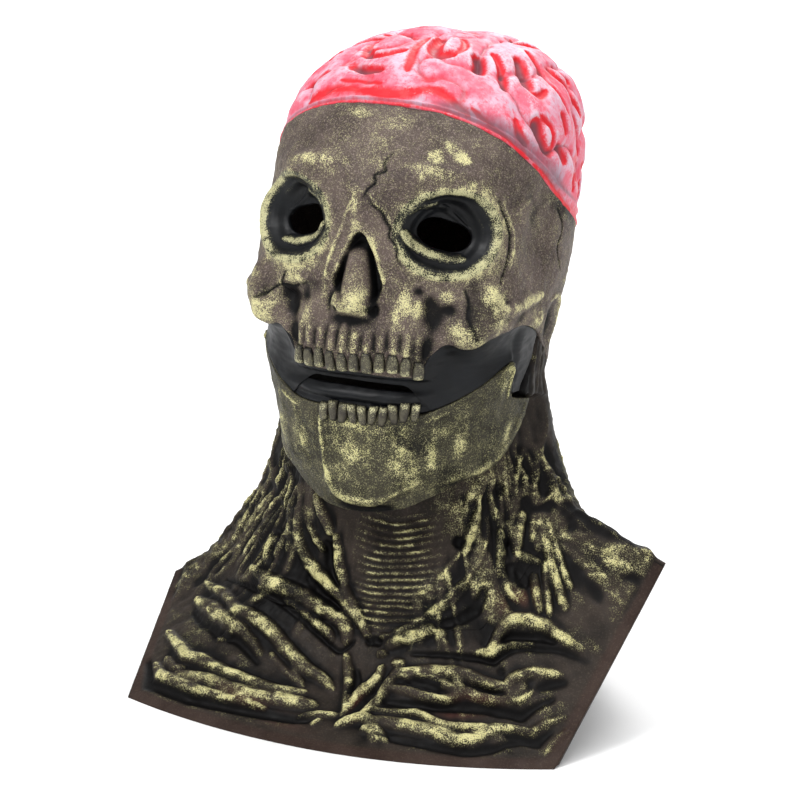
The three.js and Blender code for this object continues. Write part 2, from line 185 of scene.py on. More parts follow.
def hem_at(angle):
    angle = np.asarray(angle, float)
    turn = np.abs(angle)
    right = (angle < 0)[..., None]
    front, tip, back = (np.where(right, HEM_RIGHT[key], HEM_LEFT[key]) for key in ("front", "tip", "back"))

    def bow(corner, middle, t):
        """An arched stretch of the hem, from its middle at t = 0 to a corner at t = 1."""
        return np.stack([corner[..., 0] * t, middle + (corner[..., 1] - middle) * t * t, corner[..., 2]], -1)

    chest = bow(front, HEM_FRONT, turn / FRONT_CORNER)
    side = front + (tip - front) * ((turn - FRONT_CORNER) / (SHOULDER - FRONT_CORNER))[..., None]
    rear = tip + (back - tip) * ((turn - SHOULDER) / (BACK_CORNER - SHOULDER))[..., None]
    nape = bow(back, HEM_BACK, (180 - turn) / (180 - BACK_CORNER))
    turn = turn[..., None]
    behind = np.where(turn <= BACK_CORNER, rear, nape)
    return np.where(turn <= FRONT_CORNER, chest, np.where(turn <= SHOULDER, side, behind))


NECK_SPAN = 220.0  # millimetres of neck to one unit of s above the collar


def neck_at(angle, s):
    """The neck for s below 0, the flare from the collar at 0 to the hem at 1."""
    angle, s = np.broadcast_arrays(np.asarray(angle, float), np.asarray(s, float))
    turn = np.abs(angle)
    z = COLLAR - s * NECK_SPAN
    up = polar(angle, neck_radius(angle, z), z)
    top = polar(angle, neck_radius(angle, COLLAR), COLLAR)
    hem = hem_at(angle)
    lean, drop = smooth(NECK_LEAN, turn), smooth(NECK_DROP, turn)
    leave = polar(angle, neck_radius(angle, COLLAR) + lean, COLLAR - drop)
    pull = smooth(HEM_PULL, turn)[..., None]
    meet = hem + (top - hem) * pull
    meet[..., 2] = hem[..., 2] + smooth(HEM_LIFT, turn)
    t = unit(s)[..., None]
    flare = top * (1 - t) ** 3 + 3 * leave * t * (1 - t) ** 2 + 3 * meet * t * t * (1 - t) + hem * t**3
    return np.where((s < 0)[..., None], up, flare)


CROWN = DOME_BASE + DOME_HEIGHT - 0.001


def brain_at(angle, share):
    """The dome, from the rim at share 0 to the crown at share 1, in even steps of arc."""
    rim = smooth(BRAIN_RIM, np.abs(angle))
    z = rim + (CROWN - rim) * np.sin(unit(share) * math.pi / 2)
    return head_at(angle, z)


# ---------------------------------------------------------------- relief maps
def lattice_noise(points, scale, seed):
    """Smooth value noise from -1 to 1 at points, with features about `scale` millimetres across."""
    table = np.random.default_rng(seed).uniform(-1, 1, (32, 32, 32)).astype(np.float32)
    q = np.asarray(points, float) / scale + 77.3
    i = np.floor(q).astype(int)
    f = q - i
    f = f * f * (3 - 2 * f)
    i &= 31
    j = (i + 1) & 31
    out = 0
    for cx, wx in ((i[..., 0], 1 - f[..., 0]), (j[..., 0], f[..., 0])):
        for cy, wy in ((i[..., 1], 1 - f[..., 1]), (j[..., 1], f[..., 1])):
            for cz, wz in ((i[..., 2], 1 - f[..., 2]), (j[..., 2], f[..., 2])):
                out = out + table[cx, cy, cz] * wx * wy * wz
    return out


def fractal(points, scale, seed, octaves=3):
    total = sum(lattice_noise(points, scale / 2**k, seed + k) / 2**k for k in range(octaves))
    return total / sum(0.5**k for k in range(octaves))


def blur(field, cells):
    """A soft average over about `cells` grid cells each way."""
    for axis in (0, 1):
        for _ in range(2):
            pad = [(0, 0), (0, 0)]
            pad[axis] = (cells + 1, cells)
            total = np.cumsum(np.pad(field, pad, mode="edge"), axis=axis)
            wide = 2 * cells + 1
            high = np.take(total, range(wide, total.shape[axis]), axis=axis)
            low = np.take(total, range(0, total.shape[axis] - wide), axis=axis)
            field = (high - low) / wide
    return field


class Relief:
    """Height and paint over a base surface, on a grid of angles by a second parameter."""

    SPACING = 0.6  # millimetres between the points of a line
    CHUNK = 24  # points of a line that are compared with the grid at once

    def __init__(self, surface, angles, across):
        self.surface, self.a, self.v = surface, angles, across
        self.A, self.V = np.meshgrid(angles, across)
        self.P = surface(self.A, self.V).astype(np.float32)
        shape = self.A.shape
        self.form = np.zeros(shape)  # soft swellings and hollows
        self.raised = np.zeros(shape)  # ridges: the highest wins
        self.cut = np.zeros(shape)  # grooves: the deepest wins
        self.dry = np.zeros(shape)  # pale dry-brushed paint
        self.dark = np.zeros(shape)  # dark wash, and painted shade beside ridges, under the jaw and on the brain
        self.tint = np.zeros(shape)  # the material's own second colour

    def route(self, points):
        """Close-set surface points along a smooth line through (angle, v) points."""
        pts = np.array(points, float)
        knots = np.arange(len(pts))
        rough = self.surface(pts[:, 0], pts[:, 1])
        length = np.linalg.norm(np.diff(rough, axis=0), axis=1).sum()
        at = np.linspace(0, len(pts) - 1, max(6, int(length / self.SPACING)))
        line = np.stack([smooth(list(zip(knots, pts[:, k])), at) for k in (0, 1)], -1)
        line[[0, -1]] = pts[[0, -1]]
        return self.surface(line[:, 0], line[:, 1]), np.linspace(0, 1, len(line))

    def near(self, points, reach):
        """Cells within reach of a line: their indices, distance, and share along the line."""
        route, along = self.route(points)
        low, high = route.min(0) - reach, route.max(0) + reach
        box = np.all((self.P >= low) & (self.P <= high), axis=-1)
        rows, cols = np.nonzero(box)
        if len(rows) == 0:
            return (rows, cols), np.zeros(0), np.zeros(0)
        cells = self.P[rows, cols]
        best = np.full(len(rows), 1e9)
        share = np.zeros(len(rows))
        for start in range(0, len(route), self.CHUNK):
            part = route[start : start + self.CHUNK].astype(np.float32)
            gap = ((cells[:, None, :] - part[None]) ** 2).sum(-1)
            k = gap.argmin(1)
            d = gap[np.arange(len(rows)), k]
            closer = d < best
            best[closer] = d[closer]
            share[closer] = along[start : start + self.CHUNK][k[closer]]
        d = np.sqrt(best)
        keep = d < reach
        return (rows[keep], cols[keep]), d[keep], share[keep]

    def stroke(self, points, wide, reach, ends):
        """Cells near a line, their distance, and the line's girth and rounded profile at each."""
        cells, away, share = self.near(points, wide * reach)
        girth = np.clip(4 * share * (1 - share), 0.02, 1) ** ends
        return cells, away, girth, unit(1 - (away / np.maximum(wide * girth, 0.2)) ** 2)

    def most(self, layer, amount, cells=...):
        """Brings a layer up to `amount` wherever it is below it."""
        field = getattr(self, layer)
        field[cells] = np.maximum(field[cells], amount)

    def ridge(self, points, wide, high, dry=0.0, ends=0.35, sharp=0.9, shade=0.35, clear=0.0):
        """A raised cord of half width `wide`, thinner by `ends` towards its ends, in a band of painted
        shade.
        """
        cells, away, girth, u = self.stroke(points, wide, 1.7, ends)
        self.most("raised", high * girth * u**sharp, cells)
        self.most("dry", dry * (0.15 * u**0.5 + 0.85 * u**3.2), cells)
        # Painted shade: a dark band along both sides of the cord, as strong as `shade`.
        shade_bed = unit(1.7 - away / np.maximum(wide * girth, 0.2)) * unit(1 - 1.6 * u)
        self.most("dark", shade * shade_bed, cells)
        self.dark[cells] *= 1 - clear * u**0.4

    def groove(self, points, wide, deep, dark=1.0, ends=0.35, tint=0.0):
        """A cut of half width `wide` that dark wash, or the second colour, runs into."""
        cells, away, girth, u = self.stroke(points, wide, 1.6, ends)
        self.cut[cells] = np.minimum(self.cut[cells], -deep * girth * u)
        halo = unit(1 - away / np.maximum(wide * 1.6 * girth, 0.3))
        self.most("dark", dark * np.maximum(u, halo**0.8), cells)
        self.dry[cells] *= 1 - u
        self.most("tint", tint * np.maximum(u, halo) ** 0.8, cells)

    def blob(self, at, wide, high, rise, dry=0.0, dark=0.0, tint=0.0, tilt=0.0, hard=1.0):
        """A soft oval swelling (or hollow) at (angle, v), half sizes in millimetres."""
        centre = self.surface(np.array([at[0]]), np.array([at[1]]))[0]
        reach = max(wide, high) * 1.9
        cells = np.nonzero(np.linalg.norm(self.P - centre, axis=-1) < reach)
        turn = math.radians(at[0])
        across = np.array([math.cos(turn), math.sin(turn), 0.0])
        offset = self.P[cells] - centre
        x = offset @ across
        y = np.sqrt(np.maximum((offset**2).sum(-1) - x * x, 0)) * np.sign(offset[:, 2])
        c, s = math.cos(math.radians(tilt)), math.sin(math.radians(tilt))
        x, y = x * c + y * s, y * c - x * s
        fall = np.exp(-(((x / wide) ** 2 + (y / high) ** 2) ** hard))
        self.form[cells] += rise * fall
        for layer, amount in (("dry", dry), ("dark", dark), ("tint", tint)):
            self.most(layer, amount * fall, cells)

    def blobs(self, *rows):
        """Blobs given as rows of angle, v, half width, half height, rise, dry, dark, tint, tilt."""
        for angle, v, *rest in rows:
            self.blob((angle, v), *rest)

    def finish(self, fine, dry_gain=0.55, dark_gain=0.5, cells=5):
        """Adds surface noise, and paint that gathers on high spots and in hollows."""
        self.height = self.form + self.raised + self.cut + fine
        lift = self.height - blur(self.height, cells)
        broad = self.height - blur(self.height, cells * 3)
        self.dry += dry_gain * unit(lift - 0.12) + 0.12 * np.clip(broad, 0, 2)
        self.dark += dark_gain * np.clip(-lift - 0.05, 0, 2) + 0.16 * np.clip(-broad, 0, 3)
        self.dry, self.dark = unit(self.dry), unit(self.dark)

    def seal(self):
        """Stacks the finished layers, ready for sampling."""
        self.layers = np.stack([self.height, self.dry, self.dark, self.tint], -1)
        return self

    def sample(self, angle, v):
        """Height, dry, dark and tint at (angle, v), interpolated."""
        fa = np.clip(np.interp(angle, self.a, np.arange(len(self.a))), 0, len(self.a) - 1.001)
        fv = np.clip(np.interp(v, self.v, np.arange(len(self.v))), 0, len(self.v) - 1.001)
        i, j = np.floor(fv).astype(int), np.floor(fa).astype(int)
        y, x = (fv - i)[..., None], (fa - j)[..., None]
        m = self.layers
        top = m[i, j] * (1 - x) + m[i, j + 1] * x
        low = m[i + 1, j] * (1 - x) + m[i + 1, j + 1] * x
        return top * (1 - y) + low * y


def angle_grid(fine, coarse, edge=95.0):
    back = np.arange(edge + coarse, 180 - coarse / 2, coarse)
    front = np.arange(-edge, edge + fine / 2, fine)
    return np.concatenate([[-180.0], -back[::-1], front, back, [180.0]])


def oval_share(angle, z, spot, tilt):
    """How far (angle, z) is from a socket's middle, with 1 on its rim, and the turn round it."""
    side = 1.0 if spot[0] >= 0 else -1.0
    x = (np.asarray(angle, float) - spot[0]) * DEG * side
    y = np.asarray(z, float) - spot[1]
    c, s = math.cos(math.radians(tilt)), math.sin(math.radians(tilt))
    u, w = (x * c + y * s) / spot[2], (y * c - x * s) / spot[3]
    return np.hypot(u, w), np.arctan2(w, u)


SOCKETS = {"left": (28.0, 292.0, 27.0, 25.0), "right": (-28.0, 292.0, 27.0, 25.0)}
SOCKET_TILT = -12.0
NOSE = (-0.5, 267.0, 15.0, 23.0)
TEETH_UPPER = {"from": -22.5, "to": 24.0, "count": 11, "top": 222.5, "bottom": 210.5}
TEETH_LOWER = {"from": -14.0, "to": 23.5, "count": 10, "top": 191.5, "bottom": 179.0}


def track(*numbers, side=1, scale=1):
    """Points from a run of angle, v, angle, v and so on. Side -1 mirrors them, and scale divides v."""
    return [(side * angle, v / scale) for angle, v in zip(numbers[::2], numbers[1::2])]


def sculpt_head():
    h = Relief(head_at, angle_grid(0.4, 1.6), np.arange(118.0, 391.0, 0.7))
    # Eye sockets: a steep wall, rings of lid skin, and a pale rim round the outer side.
    for side, spot in SOCKETS.items():
        share, turn = oval_share(h.A, h.V, spot, SOCKET_TILT)
        share = share + 0.03 * fractal(h.P, 16, 5)
        outer = 0.5 + 0.5 * np.cos(turn - (0.25 if side == "left" else -0.9))
        rim = bell(share, 0.985, 0.105)
        h.form += 2.8 * rim * (0.3 + 0.7 * outer)
        h.form -= 12.5 * (1 - step(0.50, 0.93, share))
        ring = bell(share, 0.72, 0.045) + 0.8 * bell(share, 0.60, 0.04)
        upper = step(-0.2, 0.5, np.sin(turn))
        h.form += 1.5 * ring * (0.35 + 0.65 * upper)
        inside = 1 - step(0.83, 0.90, share)
        h.most("dark", inside * (0.97 - 0.25 * ring))
        h.most("tint", 1 - step(0.80, 0.86, share))
        pale = bell(share, 0.965, 0.062) * step(0.42, 0.95, outer)
        h.most("dry", 1.0 * pale * (0.8 + 0.5 * fractal(h.P, 12, 9)))
        soft = bell(share, 1.08, 0.16) * step(0.3, 0.9, outer)
        h.most("dry", 0.45 * soft)
    for s in (1, -1):
        for wide, high, dry, clear, *points in (
            (4.0, 5.0, 0.85, 1.0, 13.5, 293, 17, 286, 22.5, 280.6, 29, 278, 35.5, 278.6),
            (1.7, 1.8, 0.0, 0.0, 14, 285, 18.5, 276.5, 25, 272, 33, 271.5, 39, 276),
            (1.8, 2.0, 0.1, 0.3, 15, 302, 19, 307, 26, 307, 33, 302, 38, 295),
        ):
            h.ridge(track(*points, side=s), wide, high, dry, ends=0.4, shade=0, clear=clear)
    # Nose: bony edge, dark well, and a blunt ridge of cartilage.
    narrow = 1 + 1.1 * unit((h.V - 262) / 28)
    x = (h.A - NOSE[0]) * DEG
    pear = np.hypot(x * narrow / 14.5, (h.V - NOSE[1]) / 23.5)
    well = 1 - step(0.78, 1.02, pear)
    h.form -= 8.0 * well
    h.most("dark", 0.95 * (1 - step(0.92, 1.03, pear)))
    down = unit((288 - h.V) / 40)
    girth = 3.8 + 8.0 * down**0.8
    bridge = unit(1 - ((x + 1.6) / girth) ** 2) ** 0.75
    bridge *= step(240.5, 248, h.V) * (1 - step(276, 284, h.V))
    h.form += bridge * (7.0 + 10.5 * down**1.3)
    h.dark *= 1 - 0.95 * unit(bridge * 2.2)
    tip = np.exp(-(((x + 2.5) / 6.5) ** 2) - ((h.V - 253.5) / 7.5) ** 2)
    h.most("dry", 0.5 * tip * unit(bridge * 2))
    h.blobs((-6.6, 246.0, 2.6, 2.2, -5, 0, 0.9), (5.0, 247.0, 3.2, 3.4, -7, 0, 1))
    edge = track(-2.5, 312, -4.6, 302, -6.8, 291, -9.0, 281, -11.4, 271, -12.5, 262)
    h.ridge(edge, 1.3, 1.3, 0.6, ends=0.3)
    h.ridge(track(3.2, 288, 5.4, 279, 7.4, 269, 9.4, 258, 10.8, 249), 1.6, 1.4, 0.1, ends=0.3)
    h.blobs((-1.6, 293.5, 3, 4.5, 1.2, 0.95), (-2.6, 304, 2.6, 6, 0.8, 0.5))
    # Brows and glabella.
    for s in (1, -1):
        h.blobs((s * 22, 326, 17, 5.5, 2.2, 0, 0, 0, -6 * s), (s * 70, 286, 17, 24, -3))
    # Cracks in the forehead and cheeks.
    for line in (
        (0.2, 309, 1.2, 314, 3.4, 318, 2.6, 322, 6.0, 324.5, 5.0, 329, 7.2, 334),
        (0.6, 312, 3.4, 306, 6.4, 303, 7.8, 298, 9.6, 294, 9.4, 289, 12.2, 284, 12.8, 277, 15.0, 273),
        (35.2, 262, 36.6, 255, 36.2, 247, 38.0, 240, 39.6, 234),
        (-19, 258, -25, 254, -31, 253, -36, 246, -40, 243), (-28, 262, -30, 254, -27, 248),
        (45, 310, 47.5, 301, 50, 293, 50.5, 284, 49.5, 274, 47.5, 264),
        (-45, 308, -49, 296, -51, 284, -49, 270), (82, 300, 88, 288, 86, 276, 92, 262),
        (-80, 296, -86, 285, -84, 270, -90, 258),
    ):
        h.groove(track(*line), 0.8, 1.5, 0.95, ends=0.2)
    h.ridge(track(1.6, 313, 4.6, 306, 8.2, 301, 9.4, 296), 1.0, 0.6, 0.5)
    h.ridge(track(11, 290, 13.6, 283, 14.6, 277, 17, 271), 1.0, 0.6, 0.55)
    h.ridge(track(46.8, 309, 49.5, 300, 52, 291, 52.5, 282, 51, 272), 1.6, 0.7, 0.2)
    h.ridge(track(52, 300, 57, 305, 62, 308), 2.4, 0.4, 0.15)
    # Cheekbones, with the hollows and pits in front of them.
    for s in (1, -1):
        h.blobs(
            (s * 43, 250, 9, 14, 3.2, 0, 0, 0, 0, 1.3), (s * 37, 236, 8.5, 8, 5.2, 0, 0, 0, 0, 1.4),
            (s * 25.5, 246, 7, 10, -5, 0, 0.35, 0, 0, 1.3), (s * 24, 228, 5.5, 9, -3.5, 0, 0.45),
        )
        h.ridge(track(47, 249, 56, 249.5, 66, 251.5, 76, 252, side=s), 5.0, 1.8, 0.4, ends=0.3, shade=0.2)
        h.blobs((s * 60, 242, 10, 4, -1.2, 0, 0.1), (s * 75, 238, 4.5, 4, 1.5, 0.8))
    h.blobs(
        (46.5, 252, 6.5, 13, 0.4, 0.95), (38, 233.5, 7.5, 4.5, 0.5, 1, 0, 0, 8),
        (32.5, 240, 3.5, 4.5, 0.6, 1, 0, 0, -30), (30, 258, 5.5, 3.2, 0.4, 0.8),
        (30.5, 250, 4.5, 4.2, -2.5, 0, 0.4), (20.6, 259.5, 3.6, 2.6, -2.2, 0, 0.5),
        (23.8, 253, 4.2, 5.5, -2, 0, 0.35), (16.5, 253, 4.2, 7.5, 1.2, 0.85), (13.5, 245, 3, 8, 0.8, 0.6),
        (21.0, 250, 3, 4, 1, 0.55), (-39, 236, 7.5, 6.5, 1.2, 1), (-33, 244, 6, 4, 0.8, 0.75),
        (-20, 250, 5, 6, -3, 0, 0.45), (-28, 249, 5.5, 3.6, -3, 0, 0.5), (-25, 259, 6, 3, 0.5, 0.65),
        (-18, 240, 2.6, 8, 0.8, 0.7), (-12.5, 255, 2.4, 7, 0.8, 0.45),
    )
    # Forehead scuffs.
    h.ridge(track(19.5, 335, 23, 331), 6.0, 0.25, 1.3, ends=0.2, shade=0)
    h.ridge(track(25, 340, 28.5, 335, 32, 331), 6.0, 0.25, 1.3, ends=0.2, shade=0)
    h.blobs((-8, 353, 9, 3.5, 0, 0.5), (6, 350, 12, 7, 0, 0.32), (4, 334, 7, 12, 0, 0.34))
    # Roots over the teeth and the folds of the gum.
    for teeth, up, high, rise in ((TEETH_UPPER, 1, 15.0, 1.2), (TEETH_LOWER, -1, 9.0, 0.5)):
        pitch = (teeth["to"] - teeth["from"]) / teeth["count"]
        edge = teeth["top"] if up > 0 else teeth["bottom"]
        random = np.random.default_rng(11 + up)
        for k in range(teeth["count"]):
            a = teeth["from"] + (k + 0.5) * pitch
            base = edge + tooth_rise(a, up > 0)
            reach = high * random.uniform(0.75, 1.1)
            root = [(a, base - up), (a * 0.99, base + up * reach)]
            h.ridge(root, 2.7, rise, random.uniform(-0.1, 0.12), ends=0.25, shade=0.5)
            if up > 0:
                h.groove([(a + pitch / 2, base), (a + pitch / 2, base + reach * 0.8)], 0.8, 0.8, 0.7)
    # Chin boss, the jaw's lower edge and its ramus.
    h.blob((3, 153), 25, 20, 3.0, hard=1.6)
    crease = track(-14.5, 181, -13.6, 168, -12.2, 155, -9.8, 146, -6, 139.5)
    h.ridge(crease, 2.0, 1.4, 0.6, ends=0.3, shade=0.1)
    h.ridge(track(-11, 148, -6, 138.5, 0, 134.8, 7, 134.4, 13, 138), 4.6, 2.0, 1.0, ends=0.4, shade=0.2)
    h.ridge(track(12, 137.5, 18, 142, 25, 147.5), 2.4, 1.2, 0.45, shade=0.1)
    # Painted shade: a dark band under the chin boss, along the jaw's lower edge.
    h.blob((8, 128.5), 30, 4.0, -1.5, dark=0.6)
    for s, dry in ((1, 0.12), (-1, 0.2)):
        border = track(36, 146, 45, 149, 54, 151.5, 63, 156.5, 70, 165, 74.5, 176, 78, 187, side=s)
        h.ridge(border, 4.6, 1.3, dry, ends=0.4, shade=0.0)
    for s in (1, -1):
        corner = track(55, 213, 58.5, 213.2, 60.5, 211, 60.2, 205, 60, 199, 61.5, 194, side=s)
        h.ridge(corner, 1.5, 1.2, 0.7, ends=0.25)
        h.blob((s * 56, 205), 5.0, 8.0, 1.0, dry=0.5)
        h.ridge(track(25, 184, 30, 187, 34, 190, side=s), 1.6, 0.6, 0.5)
        h.blob((s * 50, 178), 16, 18, -2.0, dark=0.2)
    for angle, z, wide, high, amount in (
        (17, 165, 6.5, 15, 0.62), (20, 150, 6, 9, 0.55), (29, 165, 2.8, 16, 0.75), (40, 168, 5.5, 11, 0.6),
        (40, 152, 9, 6, 0.75), (66, 172, 5, 8, 0.6), (33, 178, 6, 4, 0.4), (2, 178, 16, 3, 0.45),
        (0, 160, 10, 14, 0.25), (55, 165, 12, 12, 0.25), (-25, 165, 6, 16, 0.4), (-40, 166, 6, 12, 0.5),
        (-55, 165, 12, 12, 0.3),
    ):
        h.blob((angle, z), wide, high, 0.2, dry=amount)
    # Back and sides of the skull.
    random = np.random.default_rng(5)
    for _ in range(16):
        a = random.uniform(95, 178) * random.choice([-1, 1])
        z = random.uniform(214, 272)
        line = [(a, z)]
        for _ in range(4):
            line.append((line[-1][0] + random.uniform(-5, 5), line[-1][1] - random.uniform(2, 8)))
        h.groove(line, 1.0, 1.2, 0.9, ends=0.2)
    for s in (1, -1):
        h.blob((s * 91, 232), 6, 10, -3.0, dark=0.4)
        h.ridge(track(84, 246, 94, 247, 102, 238, 101, 226, 94, 216, side=s), 3.0, 1.6, 0.1, shade=0.1)
        h.ridge(track(108, 228, 130, 236, 155, 240, 179, 243, side=s), 6.5, 1.6, 0.1, shade=0.15)
    # Surface noise, softer on the black membranes.
    lumps = fractal(h.P, 20, 15)
    h.form += 1.5 * lumps * (1 - h.tint)
    h.most("dark", 0.55 * step(0.05, 0.5, -fractal(h.P, 26, 25)) * (1 - step(300, 330, h.V)) * (1 - h.tint))
    fine = 0.55 * fractal(h.P, 9, 3) + 0.35 * fractal(h.P, 3.2, 7)
    fine = fine * (1 - 0.75 * h.tint)
    h.finish(fine)
    patch = 0.5 + 0.5 * fractal(h.P, 22, 21) + 0.25 * lumps
    h.dry = unit(h.dry + 0.40 * patch * (1 - h.tint) * step(0.35, 0.9, patch) + 0.13 * (1 - h.tint))
    pits = np.exp(-(((np.abs(h.A) - 25) * DEG / 12) ** 2) - ((h.V - 249) / 13) ** 2)
    soft = np.maximum(blur(h.dark, 1) * (1 - 0.25 * pits), 0.95 * step(0.4, 1.1, -h.cut))
    h.dark = np.where(h.tint > 0.5, h.dark, soft)
    h.dry *= 1 - 0.85 * step(0.3, 0.9, h.dark)
    h.dry *= 1 - 0.6 * unit(1.5 * bridge) * step(252, 262, h.V)
    return h.seal()


def sculpt_brain():
    b = Relief(brain_at, angle_grid(0.6, 1.0, 120), np.linspace(0, 1, 220))
    angle = np.abs(b.A)

    def spot(a, z):
        rim = float(smooth(BRAIN_RIM, abs(a)))
        return (a, math.asin(min(max((z - rim) / (CROWN - rim), 0), 1)) * 2 / math.pi)

    def line(*numbers):
        return [spot(a, z) for a, z in track(*numbers)]

    # Deep short slits between the folds, in bright red.
    for wide, deep, *points in (
        (2.8, 4.0, -32, 373, -20, 373.5, -9, 373.5),
        (3.2, 4.0, -53, 385.5, -38, 381.5, -26, 379.5, -16, 380.5, -5, 383.5),
        (2.8, 3.0, -70, 388, -45, 390.5, -15, 390), (2.2, 1.2, 2, 390, 0, 386, 2, 380, 3, 374),
        (4.4, 5.5, 22, 391.5, 14, 388, 16, 384, 28, 383), (2.2, 2.0, 28, 383, 37, 386, 42, 390),
        (4.0, 5.0, 42, 383, 43, 380, 39, 375), (2.6, 3.4, 58, 383.5, 55, 376, 50.5, 366),
        (4.6, 5.5, 77, 381, 70.5, 373.5, 66, 366), (2.2, 2.0, 66, 366, 71, 362, 78, 364),
        (3.0, 3.6, 95, 383, 88, 371, 90, 360, 92, 350), (4.4, 5.5, 64, 351, 65, 344, 69, 333),
        (2.2, 2.6, 66, 352, 72, 345, 73, 336, 70, 331), (2.4, 2.2, 52, 352, 53, 345, 57, 338),
        (2.8, 3.2, 84, 352, 85, 340), (3.6, 4.2, 78, 336, 84, 325),
        (3.0, 3.8, 100, 352, 102, 338, 106, 326), (3.0, 3.6, 92, 330, 97, 318, 101, 306),
        (3.0, 3.8, 104, 368, 108, 356, 110, 346), (2.4, 2.4, -44, 368, -50, 362, -54, 355),
        (2.4, 2.6, -60, 376, -64, 364, -68, 350),
    ):
        b.groove(line(*points), 1.25 * wide, deep, 0.0, ends=0.3, tint=1.0)
    # The far side, back and top carry the same kind of folds.
    random = np.random.default_rng(42)
    taken = []
    for _ in range(900):
        a = random.uniform(-180, 180)
        share = random.uniform(0.06, 0.9)
        if -56 < a < 100:
            continue
        p = brain_at(np.array([a]), np.array([share]))[0]
        if any(np.linalg.norm(p - q) < 17.0 for q in taken):
            continue
        taken.append(p)
        heading = random.uniform(0, 2 * math.pi)
        bend = random.uniform(-0.9, 0.9)
        reach = random.uniform(9, 20)
        points = []
        here = np.array([a, share])
        radius = max(20.0, math.hypot(p[0], p[1] - 25))
        for k in range(4):
            points.append(tuple(here))
            go = heading + bend * k
            here = here + reach / 3 * np.array([math.cos(go) * 57.3 / radius, math.sin(go) / 130])
        b.groove(points, random.uniform(2.4, 3.9), random.uniform(2.8, 4.8), 0.0, ends=0.3, tint=1.0)
    # Folds swell between the slits.
    warp = b.P + 9 * np.stack([fractal(b.P, 34, 31), fractal(b.P, 34, 35), fractal(b.P, 34, 39)], -1)
    folds = np.abs(fractal(warp, 30, 51, 2))
    seam = 1 - step(0.0, 0.10, folds)
    lift = step(0.05, 0.16, b.V)
    b.form += 3.0 * unit(folds * 2.2) * lift - 1.0 * seam * lift
    b.most("tint", 0.42 * seam * lift)
    # A low lip runs round the rim, with a crease above it.
    front = step(70, 100, angle)
    b.form += 0.8 * bell(b.V, 0.012, 0.010) + 0.7 * bell(b.V, 0.05, 0.010)
    b.cut -= 1.0 * bell(b.V, 0.031, 0.009) + 0.8 * bell(b.V, 0.075, 0.014)
    b.most("tint", 0.5 * (1 - step(0.02, 0.06, b.V)))
    b.dark += 0.4 * np.exp(-(((b.V - 0.045 - 0.02 * front) / 0.014) ** 2))
    # Painted shade: a grey band above the rim, on the wearer's left only.
    b.dark += 0.5 * bell(b.V, 0.09, 0.05) * step(12, 26, b.A) * (1 - step(75, 100, angle))
    for wide, *points in (
        (4.0, -40, 352, -30, 360, -18, 363.5, -4, 363, 8, 364, 17, 367),
        (3.4, 12, 365, 19, 365.5, 26, 361, 32, 354), (1.8, -28, 366, -16, 368, -6, 367),
        (1.8, 33, 358, 38, 352.5, 44, 346, 51, 338, 57, 331), (2.4, 60, 328, 72, 317, 84, 305, 96, 296),
    ):
        b.groove(line(*points), wide, 0.8, 0.0, ends=0.3, tint=0.85)
    b.cut = blur(b.cut, 1)
    b.form -= 2.0 * step(0.5, 0.9, b.V)
    streak = fractal(b.P * np.array([1.0, 1.0, 0.28]), 4.5, 61, 2)
    fine = 0.35 * streak + 0.2 * fractal(b.P, 2.4, 65, 2)
    # On the brain, the dark laid in the hollows here is painted shade.
    b.finish(fine, dry_gain=0.3, dark_gain=0.12)
    b.tint += 0.30 * unit(streak - 0.1) + 0.35 * unit(fractal(b.P, 16, 71) - 0.15)
    b.tint = unit(b.tint)
    return b.seal()


